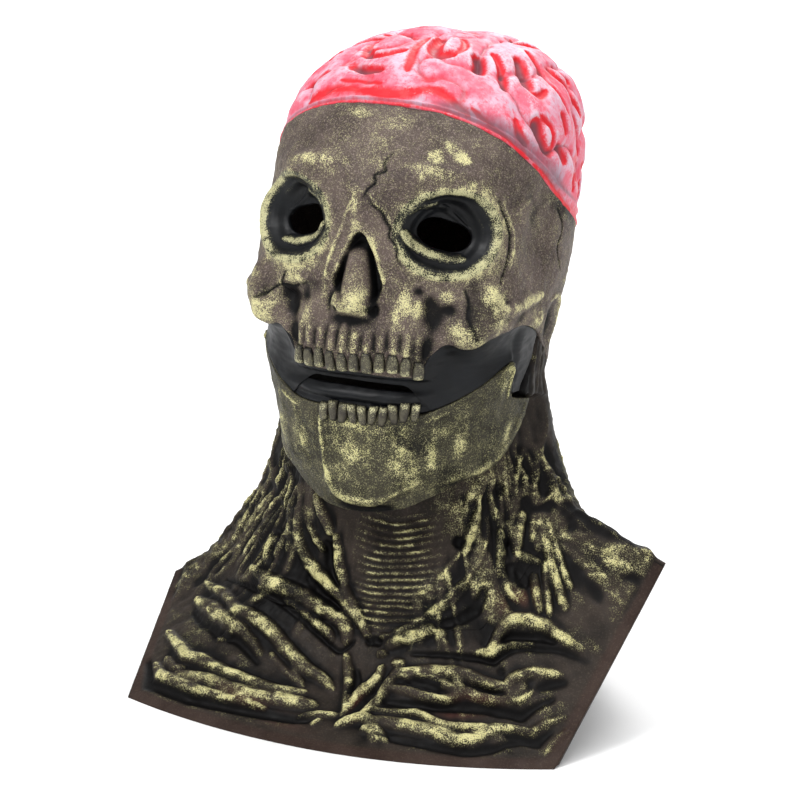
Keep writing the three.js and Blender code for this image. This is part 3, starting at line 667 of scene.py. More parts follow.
# Strokes of the neck and bib. A row holds half width, height (or depth) and paint, and then the
# stroke's points as angle and thousandths of s.
CORDS = (
    # the wearer's left, then the right
    (4.2, 3, 1, 58.5, 220, 55, 270, 50, 330),
    (3.6, 2.4, 0.45, 62, 310, 57, 370, 51, 395, 45, 430, 38, 470, 29, 520, 20, 555, 10, 585),
    (2.4, 1.4, 0.35, 52, 300, 45, 340, 41, 370, 36, 420, 30, 460),
    (2.2, 1.4, 0.25, 50, 420, 44, 460, 36, 500, 26, 540, 16, 570),
    (4.4, 3, 0.95, 67, 340, 65.5, 400, 61, 480), (3.4, 2.4, 0.8, 64, 440, 62.5, 500, 62, 550, 63.5, 610),
    (4.6, 2.6, 0.9, 70, 340, 71.5, 380, 70.5, 450), (4.6, 3.2, 1, 78, 360, 73.5, 420, 69.5, 470),
    (3.6, 2.6, 0.75, 69, 460, 71.5, 520, 74.5, 590), (4, 3, 0.95, 71, 590, 69, 640, 66.5, 700),
    (3.4, 2.6, 0.75, 75.5, 600, 71.5, 670, 68, 740), (3.6, 2.4, 0.85, 79.5, 430, 78, 460, 76, 500),
    (4.8, 3.4, 1, 81, 450, 78.5, 570, 74.5, 680, 71.5, 780),
    (3.6, 2.8, 1, 83, 480, 80.5, 580, 77.5, 680, 75.5, 760),
    (2.4, 1, 0.6, 90, 150, 89, 400, 87.5, 650, 86, 920),
    (2.4, 1, 0.6, 94, 200, 92, 450, 90, 700, 88.5, 940),
    (2.6, 1.2, 0.5, 86, 450, 84.5, 600, 83, 750, 81, 900), (2.4, 1, 0.5, 98, 300, 96, 550, 93.5, 800),
    (2.6, 1, 0.5, 102, 200, 100, 500, 98, 800), (3, 2, 0.7, 86, 30, 81.5, 140, 78, 270),
    (3.2, 2.2, 0.65, 86, 50, 87, 180, 85.5, 280, 83, 380), (3.8, 2.4, 1, 84, 190, 82.5, 240, 81, 300),
    (3, 2, 0.7, 89.5, 100, 88.5, 180, 86.5, 270), (3.6, 2.6, 0.95, 92, 120, 92, 220, 91, 320, 88, 440),
    (3.2, 2.2, 0.8, 95, 250, 94, 360, 92, 460, 91, 540), (3, 1.8, 0.6, 75, 140, 74, 220, 73, 300),
    (3, 1.8, 0.6, 66, 200, 66, 260, 69, 340),
    (5.2, 3.2, 0.8, -52, 220, -49, 290, -44, 350, -38, 385, -33.5, 405, -23.6, 440, -16, 463, -8.3, 497,
        0.4, 543, 7, 600),
    (3.6, 2.6, 0.8, -23, 330, -20, 390, -14, 435, -6, 485, 1, 530),
    (4.4, 3, 1, -41, 185, -34, 235, -27, 285), (3.8, 2.6, 0.75, -25, 275, -22, 320, -18.5, 375, -13, 420),
    (2.8, 2, 0.6, -42, 280, -36, 315, -29, 345), (4, 2.4, 0.6, -57, 210, -56, 290, -50, 350, -47, 400),
    (3.8, 2.6, 0.95, -61, 420, -58, 455, -54, 490), (3.2, 2.2, 0.7, -52, 340, -53, 390, -51.5, 440),
    (4.2, 2.8, 0.95, -66, 150, -72, 210, -77, 270, -80, 340),
    (3.4, 2.2, 0.8, -80, 60, -78, 150, -77.5, 250, -78, 340), (3, 2, 0.7, -85, 120, -84, 200, -82, 280),
    (2.8, 2, 0.75, -64, 220, -63, 270, -61, 320), (4.6, 3.2, 1, -91, 460, -91.5, 580, -91, 690, -92, 810),
    (4.2, 2.8, 0.9, -88, 480, -85.5, 570, -83, 660), (4.6, 3, 0.9, -96, 620, -97, 710, -98, 800),
    (3.8, 2.4, 0.7, -83, 700, -85, 760, -87, 820), (3.2, 2, 0.5, -70, 380, -72, 470, -74, 560),
    (3.2, 2.2, 0.6, -80, 380, -82, 460, -84, 540), (2.8, 1.8, 0.45, -66, 330, -67, 420, -68, 500),
)
RIBS = (
    # collar bone and ribs of the wearer's left
    (5.2, 3.4, 0.75, 14, 612, 20, 586, 26, 571, 31.6, 558, 34.5, 558),
    (4.6, 3.4, 0.75, 46, 634, 51.4, 629, 55.3, 620, 58.8, 629, 61.9, 661, 65.3, 733, 66.5, 790, 67.5,
        847, 68.5, 900),
    (3.8, 2.8, 0.85, 47.5, 637, 52, 655, 56, 680, 61.2, 750),
    (4.8, 3.4, 0.95, 18, 700, 21, 700, 28.4, 694, 34, 695, 39.3, 700, 44.9, 730, 49.6, 750, 53.4, 758.5,
        58.8, 818.6, 62, 885),
    (4, 3, 0.8, 19, 703, 25, 710, 32, 727, 36, 755, 38.3, 768), (4.6, 2.6, 0.75, 39, 700, 38, 730, 38, 765),
    (4.2, 3, 0.75, 14, 750, 18, 755, 23, 762, 27.5, 777, 31.5, 790, 35, 780, 39.2, 762, 45.2, 785, 49.8,
        788, 51.7, 810, 55, 828),
    (5, 2.2, 0.6, 46, 735, 50.5, 770, 54.5, 800),
    (3.6, 3, 0.8, 12, 834, 20, 836, 25.5, 838, 29.5, 867, 34.3, 877, 40, 878, 43.9, 876, 48.7, 886,
        53.2, 912, 57.6, 959),
    (6, 3.6, 0.95, 7, 870, 12, 875, 17, 875, 22.5, 882, 27.6, 892, 30.3, 905, 32.9, 918, 36, 915, 39,
        900, 42.6, 882),
    (2.4, 1.2, 0.5, 50.5, 958, 54, 970, 56.5, 985),
    # collar bone and ribs of the wearer's right
    (6, 3.8, 0.95, -62, 555, -56, 530, -50, 510, -43.8, 508, -35, 507, -26.5, 516, -18, 528, -9.9, 549,
        -5.9, 584, -5, 622),
    (4.2, 2.4, 0.6, -38, 545, -30.5, 558, -22, 580, -15, 596, -11, 630),
    (5, 3.4, 0.9, -78, 810, -71, 750, -64, 695, -55, 655, -48, 632, -40, 638, -33, 660, -27, 687, -21,
        712, -15, 737, -10, 750, -5.5, 767, -2, 790),
    (6.2, 3.2, 0.8, -73, 840, -66, 775, -60, 730, -51, 682, -45, 680, -41.5, 690),
    (3.4, 2.2, 0.6, -44, 682, -41, 695, -37, 710, -32, 738), (3.4, 2.8, 0.8, -48, 742, -46, 700),
    (4.8, 3.4, 0.95, -66, 920, -64, 910, -59, 875, -54, 845, -47.5, 815, -41.5, 822, -33, 828, -25.6,
        831, -17, 828, -10, 817),
    (6.6, 3.6, 0.95, -48, 885, -42.8, 877, -35.6, 869, -28.5, 874, -23, 868, -18.6, 861, -11, 857, -4.8,
        853),
    (4.8, 3, 0.8, -57, 945, -52.5, 920, -49.5, 905, -44, 905, -39, 910, -32.6, 905, -25.6, 902, -17.5, 896),
    (3.2, 2.2, 0.8, -56, 905, -52, 880, -47.5, 857),
    (2.6, 1.4, 0.4, -30, 720, -24, 750, -18, 775, -12, 800), (2.4, 1.2, 0.3, -22, 725, -17, 765, -13, 790),
    # breastbone
    (3.6, 3, 0.95, 12.5, 625, 13, 650),
    (4, 3.2, 0.8, 13.4, 680, 12.3, 720, 10, 755, 7.6, 777, 5.4, 823, 3.8, 868),
    (3.8, 3, 0.65, 19.5, 685, 16, 745, 13.6, 800, 11, 835, 8.5, 865),
    (3.4, 2.6, 0.6, -3.2, 650, -1, 690, 1.3, 730, 3, 795, 4, 855),
    (4.6, 3.2, 0.7, 3.5, 912, 6, 885, 9.5, 868, 12, 880, 14, 905, 17, 940),
    (4.2, 2.4, 0.55, 10, 905, 13, 910, 14, 945), (2.8, 1.8, 0.45, -8, 905, -4, 885, -1.7, 878, 3, 868),
    (2.4, 1.4, 0.35, -3, 920, -1, 895), (3, 1.6, 0.5, 17, 665, 22, 668),
)
HOLLOWS = (
    (2.8, 2.6, 0.95, 24, 635, 34, 638, 41, 645, 47.6, 657, 55.5, 690, 61.7, 777, 65, 844, 67.5, 940),
    (4.2, 3.6, 1, 54, 650, 57, 664, 60, 705, 63.2, 755, 65.5, 810),
    (2.4, 2.6, 0.95, -71, 700, -64, 640, -56, 585, -47.5, 550, -35, 562, -27, 580, -20.6, 602, -13, 630,
        -6, 650, -1, 600),
    (1.2, 1.4, 0.9, -45, 575, -46.5, 595, -44, 615),
    (4.6, 2.8, 0.95, -60, 975, -54, 955, -47, 940, -38, 940, -25, 928, -12, 915, -4, 910),
    (3.2, 2, 0.9, -68, 840, -60, 790, -52, 735, -44, 720, -38, 735, -30, 770),
    (4.2, 2.8, 0.95, 14, 800, 26, 808, 38, 810, 46, 825, 52, 850, 58, 900),
    (3.4, 2, 0.85, 14, 925, 26, 940, 34, 953, 40, 940, 46, 920, 52, 935),
    (3.2, 1.6, 0.85, 44, 900, 49, 915, 54, 945), (2.4, 1.4, 0.8, 50, 690, 51.5, 715),
    (3.8, 1.8, 0.8, 56, 835, 59, 868, 62, 910), (3, 2.6, 1, 24, 722, 29, 727, 33, 742),
    (2.8, 2.4, 0.95, 41, 742, 45, 760, 49, 768), (2, 1.8, 0.8, 21, 735, 27, 752, 32, 765),
    (5.2, 3.6, 1, 66, 480, 66.5, 530, 67, 600), (4.4, 3, 1, -57, 370, -59, 400),
    (4, 3, 1, 67, 400, 68.5, 420), (4.5, 3, 1, 50, 270, 47, 300), (3.6, 2.4, 0.9, 72, 170, 71, 220),
    (4.2, 3, 0.95, 55, 470, 50, 500, 42, 530, 34, 540),
    (3.6, 2.8, 0.95, -34, 440, -26, 475, -18, 495, -12, 515),
    (3.4, 2.8, 1, -30, 310, -27, 345, -24, 390, -17, 435), (3.4, 2.6, 1, 4, 600, 8, 595, 12, 600),
    (2.8, 1.8, 0.85, 3, 700, 5, 745, 3, 800), (2.4, 1.6, 0.85, 12, 765, 9.5, 810),
)


def sculpt_neck():
    down = np.concatenate([np.arange(-0.30, 0, 0.004), np.arange(0, 1.0001, 0.0042)])
    n = Relief(neck_at, angle_grid(0.35, 1.2, 100), down)
    angle, s = np.abs(n.A), n.V
    # Throat wrinkles: fine rings across the front of the neck.
    wave = fractal(np.stack([n.A * 0.45, s * 160, n.A * 0], -1), 9, 81, 2)
    rings = np.sin((s + 0.010 * wave + 0.00001 * (n.A - 16) ** 2) * 2 * math.pi / 0.0225)
    here = step(0.17, 0.22, s) * (1 - step(0.50, 0.60, s)) * bell(n.A, 15, 21, 4)
    n.most("raised", 1.9 * unit(rings) * here * (0.75 + 0.5 * wave))
    n.most("dry", 1.2 * unit(rings) * here * (0.8 + 0.8 * wave))
    n.most("dark", unit(-rings) * here * 0.7)
    # Long cords of muscle on the wearer's left (seen on the right from the front).
    for wide, high, dry, *points in CORDS:
        n.ridge(track(*points, scale=1000), 0.92 * wide, 1.4 * high, dry, shade=0.55)
    # Ribs and collar bones: a firm rounded cord each.
    for wide, high, dry, *points in RIBS:
        n.ridge(track(*points, scale=1000), wide, 1.35 * high, dry, sharp=0.75, shade=0.5)
    n.blobs(
        (92, 0.91, 7, 5, 1.6, 0.95), (95, 0.84, 7, 4, 1.2, 0.6), (-83, 0.93, 6, 7, 1.2, 0.8),
        (50, 0.19, 12, 10, 0.6, 0.85), (58, 0.13, 10, 8, 0.6, 0.6), (-46, 0.27, 7, 12, 0.4, 0.6),
    )
    # Hollows and the edges of muscle plates.
    for wide, deep, dark, *points in HOLLOWS:
        n.groove(track(*points, scale=1000), wide, deep, dark)
    n.blobs(
        (-56, 0.79, 9, 13, 0.4, 0.55), (-38, 0.77, 16, 5, 0.3, 0.4), (54, 0.885, 14, 4, 0.2, 0.4),
        (43.6, 0.948, 1.2, 1.2, -1.5, 0, 1, 0, 0, 2),
    )
    # The back: strands fan from the nape, over the spine's knobs and the shoulder blades.
    random = np.random.default_rng(77)
    for side in (1, -1):
        for k in range(15):
            a = 103 + 5.2 * k
            start = random.uniform(-0.15, 0.15)
            end = random.uniform(0.45, 0.95)
            sway = random.uniform(-3, 3)
            along = np.array([0, 0.3, 0.6, 1])
            turns = side * (a + sway * along + 0.12 * (a - 140) * along)
            points = list(zip(turns, start + (end - start) * along))
            n.ridge(points, random.uniform(2.6, 5.0), random.uniform(1.6, 3.2), random.uniform(0.35, 0.95))
        for t in (0.55, 0.68, 0.80):
            rib = track(172, t, 160, t + 0.03, 146, t + 0.02, 132, t + 0.06, side=side)
            n.ridge(rib, 5.5, 3.0, 0.9, sharp=0.75)
            n.groove(track(170, t + 0.045, 158, t + 0.07, 146, t + 0.065, side=side), 3.0, 1.6, 0.9)
        n.ridge(track(112, 0.62, 122, 0.66, 132, 0.72, 138, 0.80, side=side), 6.5, 3.4, 0.9, sharp=0.75)
    for t in np.arange(0.02, 0.95, 0.075):
        for a in (178, -178):
            n.blob((a, t), 7, 5, 2.6, dry=0.6)
    # Sinew: fine strands that run down the neck and out over the chest.
    length = np.where(s < 0, s * 1.1, s)
    strands = fractal(np.stack([n.A * 0.9, length * 24, n.A * 0], -1), 2.6, 91, 3)
    front_calm = bell(n.A, 15, 24, 4) * (1 - step(0.5, 0.6, s))
    plate = step(0.56, 0.66, s) * (1 - step(72, 84, angle))
    sway = 3.0 * fractal(n.P, 24, 111)
    cord = fractal(np.stack([n.A * 0.62 + sway * 0.5, length * 15 + sway, n.A * 0], -1), 3.6, 121, 2)
    web = step(0.70, 0.98, 1 - np.abs(cord))
    free = (1 - 0.75 * plate) * (1 - step(0.93, 0.97, s)) * step(44, 58, angle + 25 * step(0.3, 0.45, s))
    free = free * (0.35 + 0.65 * step(-0.03, 0.12, s))
    n.most("raised", 2.2 * web * free)
    n.most("dry", 0.62 * web**2 * free * (0.6 + 0.6 * fractal(n.P, 18, 131)))
    n.most("dark", 0.6 * (1 - web) * free)
    sinew = 1.5 * strands * (1 - 0.8 * front_calm) * (1 - 0.72 * plate)
    margin = step(0.955, 0.975, s) * step(-1, 1, s * 10)
    fine = (sinew + 0.3 * fractal(n.P, 7, 93) + 0.2 * fractal(n.P, 2.8, 97)) * (1 - 0.7 * margin)
    n.form += 1.0 * fractal(n.P, 30, 101) * (1 - margin) * step(0.05, 0.2, s)
    n.dark = unit(n.dark + 0.12 * (1 - plate)) * (1 - 0.7 * margin)
    streak = fractal(n.P * np.array([0.5, 1.0, 1.6]), 3.6, 211, 2)
    n.form += 0.45 * streak * np.clip(n.raised, 0, 2.5)
    n.finish(fine, dry_gain=0.4, dark_gain=0.6)
    # Reddish wash in a few recesses, and along the hem.
    n.blobs(
        (37, 0.815, 17, 6, 0, 0, 0, 0.9), (7.5, 0.835, 4, 9, 0, 0, 0, 0.8),
        (-94, 0.55, 4, 22, 0, 0, 0, 0.7), (63, 0.60, 18, 7, 0, 0, 0, 0.5),
        (-20, 0.905, 40, 5, 0, 0, 0, 0.45),
    )
    n.most("tint", 0.12 * margin)
    worn = np.clip(0.74 + 1.3 * fractal(n.P, 10, 201, 2) + 0.8 * streak, 0.15, 1)
    n.dark = 0.9 * blur(n.dark, 1)
    # Full dark on the neck's top in front: the black lining behind the jaw's corner, and painted shade under
    # the jaw.
    n.most("dark", (1 - step(74, 84, angle)) * (1 - step(-0.12, -0.03, s)))
    n.dry *= worn * (1 - 0.85 * step(0.35, 0.95, n.dark))
    n.dry *= (1 - 0.9 * margin) * (0.4 + 0.6 * step(-0.03, 0.12, s))
    return n.seal()


# ---------------------------------------------------------------- meshes
def normals_of(points):
    """Outward normals of a grid of base points."""
    down, along = np.gradient(points, axis=0), np.gradient(points, axis=1)
    n = np.cross(along, down)
    n /= np.maximum(np.linalg.norm(n, axis=-1, keepdims=True), 1e-9)
    return n


def make_object(name, verts, faces, paint, material):
    mesh = bpy.data.meshes.new(name)
    verts = (np.asarray(verts, float) - MIDDLE) * MM
    mesh.from_pydata(verts.tolist(), [], faces)
    mesh.polygons.foreach_set("use_smooth", np.ones(len(mesh.polygons), bool))
    colour = mesh.attributes.new("paint", "FLOAT_COLOR", "POINT")
    rgba = np.ones((len(verts), 4), np.float32)
    rgba[:, :3] = paint
    colour.data.foreach_set("color", rgba.ravel())
    mesh.materials.append(material)
    mesh.validate()
    mesh.update()
    made = bpy.data.objects.new(name, mesh)
    bpy.context.collection.objects.link(made)
    return made


def grid_faces(rows, cols, ring, start=0, flip=False):
    r, c = np.meshgrid(np.arange(rows - 1), np.arange(cols if ring else cols - 1), indexing="ij")
    a, b = r * cols + c, r * cols + (c + 1) % cols
    quads = np.stack([a, b, b + cols, a + cols], -1).reshape(-1, 4) + start
    return quads[:, ::-1] if flip else quads


def wall(points, inner_points, ring, keep=None, closed_top=False):
    """Vertices and faces of a latex wall: a fine outer grid, a coarse inner one, and its edges.

    keep marks the cells of a ring that stay, so that holes can be left. They are cut in blocks of
    two by two cells. A closed top row is one point.
    """
    rows, cols = points.shape[:2]
    stride = 4 if keep is None else 2
    ri = np.unique([*range(0, rows, stride), rows - 1])
    ci = np.arange(0, cols, stride) if ring else np.unique([*range(0, cols, stride), cols - 1])
    inner = inner_points[np.ix_(ri, ci)].reshape(-1, 3)
    n_outer = rows * cols
    faces = grid_faces(rows, cols, ring)
    back = grid_faces(len(ri), len(ci), ring, n_outer, flip=True)
    if keep is not None:
        blocks = keep[:-1].reshape(len(ri) - 1, 2, len(ci), 2).all(axis=(1, 3))
        faces = faces[blocks.repeat(2, 0).repeat(2, 1).ravel()]
        back = back[blocks.ravel()]
    tris = []

    def stitch(fine, coarse_at, coarse_ids, flip):
        for k in range(len(coarse_ids) - 1):
            low, high = coarse_at[k], coarse_at[k + 1]
            half = (low + high) // 2
            for i in range(low, high):
                near = coarse_ids[k] if i < half else coarse_ids[k + 1]
                t = (fine(i), fine(i + 1), near)
                tris.append(t[::-1] if flip else t)
            t = (fine(half), coarse_ids[k + 1], coarse_ids[k])
            tris.append(t[::-1] if flip else t)

    wide = len(ci)

    def ids(r, c):
        return n_outer + r * wide + c % wide

    def close_edge(start, stop):
        """Joins one block's edge, from start to stop in blocks, to the inner grid."""
        (r0, c0), (r1, c1) = start, stop
        outer = [(r0 * (2 - k) + r1 * k) * cols + (c0 * (2 - k) + c1 * k) % cols for k in range(3)]
        near, far = ids(r0, c0), ids(r1, c1)
        tris.extend([(outer[0], outer[1], near), (outer[1], outer[2], far), (outer[1], far, near)])

    if keep is not None:
        for r, c in zip(*np.nonzero(blocks)):
            corner = [(r, c), (r, c + 1), (r + 1, c + 1), (r + 1, c)]
            beside = [(r - 1, c), (r, (c + 1) % wide), (r + 1, c), (r, c - 1)]
            for k, (i, j) in enumerate(beside):
                if 0 <= i < len(blocks) and not blocks[i, j]:
                    close_edge(corner[(k + 1) % 4], corner[k])
    stops = list(ci) + ([cols] if ring else [])
    loop = range(wide + 1) if ring else range(wide)
    if not closed_top:
        stitch(lambda i: i % cols, stops, [ids(0, c) for c in loop], True)
    stitch(lambda i: (rows - 1) * cols + i % cols, stops, [ids(len(ri) - 1, c) for c in loop], False)
    if not ring:
        stitch(lambda i: i * cols, list(ri), [ids(r, 0) for r in range(len(ri))], False)
        stitch(lambda i: i * cols + cols - 1, list(ri), [ids(r, wide - 1) for r in range(len(ri))], True)
    faces = faces.tolist() + back.tolist() + [list(t) for t in tris]
    if closed_top:
        same = {i: 0 for i in range(cols)} | {n_outer + i: n_outer for i in range(wide)}
        faces = [list(dict.fromkeys(same.get(i, i) for i in f)) for f in faces]
    return np.concatenate([points.reshape(-1, 3), inner]), faces, len(inner)


INSIDE_PAINT = (0.02, 0.45, 0.0)


def wall_piece(name, relief, A, V, material, ring=False, lift=0.0, thick=LATEX, keep=None, closed_top=False):
    """A piece of latex wall over a grid of (angle, v), sculpted and painted by a relief map."""
    base = relief.surface(A, V)
    normal = normals_of(base)
    flat = polar(A, np.ones_like(A), 0.25)
    sign = np.sign((normal * flat).sum(-1).sum())
    normal *= sign
    s = relief.sample(A, V)
    outer = base + normal * (s[..., :1] + lift)
    inner = base + normal * (np.minimum(s[..., :1], 0) * 0.8 + lift - thick)
    for side in (outer, inner):
        side[..., 2] = np.maximum(side[..., 2], 0)
    if closed_top:
        outer[0], inner[0] = outer[1].mean(0), inner[1].mean(0)
    verts, faces, n_inner = wall(outer, inner, ring, keep, closed_top)
    if sign < 0:
        faces = [f[::-1] for f in faces]
    paint = np.concatenate([s[..., 1:].reshape(-1, 3), np.tile(INSIDE_PAINT, (n_inner, 1))])
    return make_object(name, verts, faces, paint, material)


def oval_piece(name, spot, tilt, shares, hole, material, turns):
    """A patch round a spot on the head, from a hole (or its middle) out to its rim."""
    lift, thick = 0.12, 2.5
    side = 1.0 if spot[0] >= 0 else -1.0
    t = np.linspace(0, 2 * math.pi, turns, endpoint=False)
    T, share = np.meshgrid(t, shares)
    edge = hole(T) * (1 - share) + share if hole else share
    x, y = spot[2] * edge * np.cos(T), spot[3] * edge * np.sin(T)
    c, s = math.cos(math.radians(tilt)), math.sin(math.radians(tilt))
    A = spot[0] + side * (x * c - y * s) / DEG
    Z = spot[1] + x * s + y * c
    normal = head_normal(A, Z)
    base = head_at(A, Z)
    paint = head.sample(A, Z)
    outer = base + normal * (paint[..., :1] + lift)
    inner = base + normal * (paint[..., :1] + lift - thick)
    rows, cols = A.shape
    flip = side > 0
    n = rows * cols
    faces = grid_faces(rows, cols, True, 0, flip).tolist()
    faces += grid_faces(rows, cols, True, n, not flip).tolist()
    for k in range(cols):
        j = (k + 1) % cols
        for r in ((0, 1) if hole else (1,)):
            row = 0 if r == 0 else rows - 1
            quad = [row * cols + k, row * cols + j, n + row * cols + j, n + row * cols + k]
            faces.append(quad if (r == 0) == flip else quad[::-1])
    if not hole:
        middle = list(range(cols)) if flip else list(range(cols))[::-1]
        faces += [middle, [n + k for k in middle[::-1]]]
    colours = np.concatenate([paint[..., 1:].reshape(-1, 3), np.tile((0.0, 0.9, 1.0), (n, 1))])
    verts = np.concatenate([outer.reshape(-1, 3), inner.reshape(-1, 3)])
    return make_object(name, verts, faces, colours, material)


def head_normal(A, Z):
    d = 0.5
    along = head_at(A + d, Z) - head_at(A - d, Z)
    down = head_at(A, Z - d) - head_at(A, Z + d)
    n = np.cross(down, along)
    n /= np.linalg.norm(n, axis=-1, keepdims=True)
    out = polar(A, np.ones_like(A), 0.2)
    return n * np.sign((n * out).sum(-1, keepdims=True))


def tooth_rise(angle, upper):
    """How far a tooth stands above the straight row: both rows are uneven to the wearer's left."""
    if upper:
        return 2.4 * bell(angle, 11, 8) - 2.6 * step(17, 23, angle)
    return 4.2 * step(6, 22, angle) - 0.8 * step(-4, -14, angle)


def tooth_row(name, teeth, material, tip_down, seed):
    """Separate worn teeth on a strip of gum, all one casting."""
    random = np.random.default_rng(seed)
    pitch = (teeth["to"] - teeth["from"]) / teeth["count"]
    middle = (teeth["top"] + teeth["bottom"]) / 2
    high = (teeth["top"] - teeth["bottom"]) / 2
    verts, faces, paint = [], [], []
    rows, cols = 29, 17
    u, w = np.meshgrid(np.linspace(-1, 1, cols), np.linspace(-1, 1, rows))
    n = u.size
    ids = np.arange(n).reshape(rows, cols)
    edge = [*ids[:, 0], *ids[-1, 1:], *ids[-2::-1, -1], *ids[0, -2:0:-1]]
    for k in range(teeth["count"]):
        wide = 0.5 * pitch * random.uniform(0.84, 1.04)
        tall = high * random.uniform(0.86, 1.0)
        shift = random.uniform(-0.6, 0.6) + float(tooth_rise(teeth["from"] + (k + 0.5) * pitch, tip_down))
        narrow = 1 - 0.28 * step(0.0, 1.0, w if tip_down else -w) - 0.06 * np.abs(w) ** 4
        lean = pitch * random.uniform(-0.05, 0.05) * (1 if tip_down else 3)
        a = teeth["from"] + (k + 0.5) * pitch + u * wide * narrow + w * lean
        z = middle + shift + w * tall
        bulge = (unit(1 - np.abs(u) ** 2.6) ** 0.55) * (unit(1 - np.abs(w) ** 5) ** 0.5)
        tip = -w if tip_down else w
        lift = 0.3 + bulge * (2.5 + 1.1 * step(-0.6, 0.7, tip))
        lift += 0.15 * fractal(np.stack([a * 1.5, z, a * 0 + k * 9.0], -1), 2.4, seed + k)
        base, normal = head_at(a, z), head_normal(a, z)
        outer = base + normal * lift[..., None]
        back = base + normal * -0.5
        start = 2 * n * k
        verts.append(np.concatenate([outer.reshape(-1, 3), back.reshape(-1, 3)]))
        faces += grid_faces(rows, cols, False, start).tolist()
        faces += grid_faces(rows, cols, False, start + n, True).tolist()
        for p, q in zip(edge, edge[1:] + edge[:1]):
            faces.append([int(p + start), int(q + start), int(q + start + n), int(p + start + n)])
        dry = unit(0.12 + 0.75 * step(0.15, 0.95, tip) * bulge + random.uniform(-0.1, 0.25) * bulge)
        dark = unit(1.0 - 1.25 * bulge + 0.35 * step(0.2, -0.9, tip))
        front = np.stack([dry.ravel(), dark.ravel(), 0 * dry.ravel()], -1)
        paint.append(np.concatenate([front, np.tile((0, 1, 0), (n, 1))]))
    return make_object(name, np.concatenate(verts), faces, np.concatenate(paint), material)


# ---------------------------------------------------------------- materials
def srgb(r, g, b):
    """A colour from 0 to 255 in the linear values that shaders use."""
    return tuple(((v / 255 + 0.055) / 1.055) ** 2.4 if v > 10 else v / 255 / 12.92 for v in (r, g, b))


class Paint:
    """A small helper to wire a painted-latex material."""

    def __init__(self, name):
        self.m = bpy.data.materials.new(name)
        self.m.use_nodes = True
        self.t = self.m.node_tree
        self.t.nodes.clear()
        self.bsdf = self.node("BsdfPrincipled")
        out = self.node("OutputMaterial")
        self.put(self.bsdf.outputs[0], out.inputs[0])
        self.coords = self.node("TexCoord").outputs["Object"]
        attribute = self.node("Attribute")
        attribute.attribute_name = "paint"
        split = self.node("SeparateColor")
        self.put(attribute.outputs["Color"], split.inputs[0])
        self.dry, self.dark, self.tint = split.outputs[0], split.outputs[1], split.outputs[2]

    def node(self, kind):
        return self.t.nodes.new("ShaderNode" + kind)

    def put(self, value, target):
        """Links a socket to the target, or sets the target to a constant."""
        if isinstance(value, bpy.types.NodeSocket):
            self.t.links.new(value, target)
        else:
            target.default_value = value

    def noise(self, scale, detail=3.0, rough=0.6, stretch=None):
        node = self.node("TexNoise")
        node.inputs["Scale"].default_value = scale
        node.inputs["Detail"].default_value = detail
        node.inputs["Roughness"].default_value = rough
        source = self.coords
        if stretch:
            mapping = self.node("Mapping")
            mapping.inputs["Scale"].default_value = stretch
            self.put(source, mapping.inputs[0])
            source = mapping.outputs[0]
        self.put(source, node.inputs["Vector"])
        return node.outputs[0]

    def math(self, kind, a, b):
        node = self.node("Math")
        node.operation = kind
        self.put(a, node.inputs[0])
        self.put(b, node.inputs[1])
        return node.outputs[0]

    def plus(self, a, b):
        return self.math("ADD", a, b)

    def times(self, a, b):
        return self.math("MULTIPLY", a, b)

    def ramp(self, value, low, high, to_low=0.0, to_high=1.0):
        node = self.node("MapRange")
        node.interpolation_type = "SMOOTHSTEP"
        self.put(value, node.inputs[0])
        for k, v in enumerate((low, high, to_low, to_high)):
            node.inputs[k + 1].default_value = v
        return node.outputs[0]

    def mix(self, factor, a, b):
        """Mixes two colours, each a socket or red, green and blue from 0 to 255."""
        node = self.node("Mix")
        node.data_type = "RGBA"
        self.put(factor, node.inputs[0])
        for colour, slot in ((a, 6), (b, 7)):
            if not isinstance(colour, bpy.types.NodeSocket):
                colour = (*srgb(*colour), 1.0)
            self.put(colour, node.inputs[slot])
        return node.outputs[2]

    def finish(self, colour, roughness, bumps, specular=0.12):
        self.put(colour, self.bsdf.inputs["Base Color"])
        self.put(roughness, self.bsdf.inputs["Roughness"])
        self.bsdf.inputs["Specular IOR Level"].default_value = specular
        last = None
        for height, strength, distance in bumps:
            bump = self.node("Bump")
            bump.inputs["Strength"].default_value = strength
            bump.inputs["Distance"].default_value = distance
            self.put(height, bump.inputs["Height"])
            if last is not None:
                self.put(last, bump.inputs["Normal"])
            last = bump.outputs[0]
        self.put(last, self.bsdf.inputs["Normal"])
        return self.m


def dry_brushed(p, dry):
    """Speckled coverage: paint that only catches the grain's high points, and in drifts."""
    grain = p.noise(1500.0, 2.0, 0.8)
    coarse = p.noise(195.0, 4.0, 0.7)
    drift = p.ramp(p.noise(95.0, 3.0, 0.6), 0.36, 0.62, 0.5, 1.08)
    grains = p.plus(p.times(grain, 0.74), p.times(coarse, 0.26))
    laid = p.times(dry, drift)
    reach = p.plus(p.times(laid, 0.15), grains)
    strength = p.ramp(laid, 0.02, 0.75, 0.3, 0.97)
    sparse = p.ramp(laid, 0.01, 0.10)
    return p.times(p.times(p.ramp(reach, 0.56, 0.665), strength), sparse)


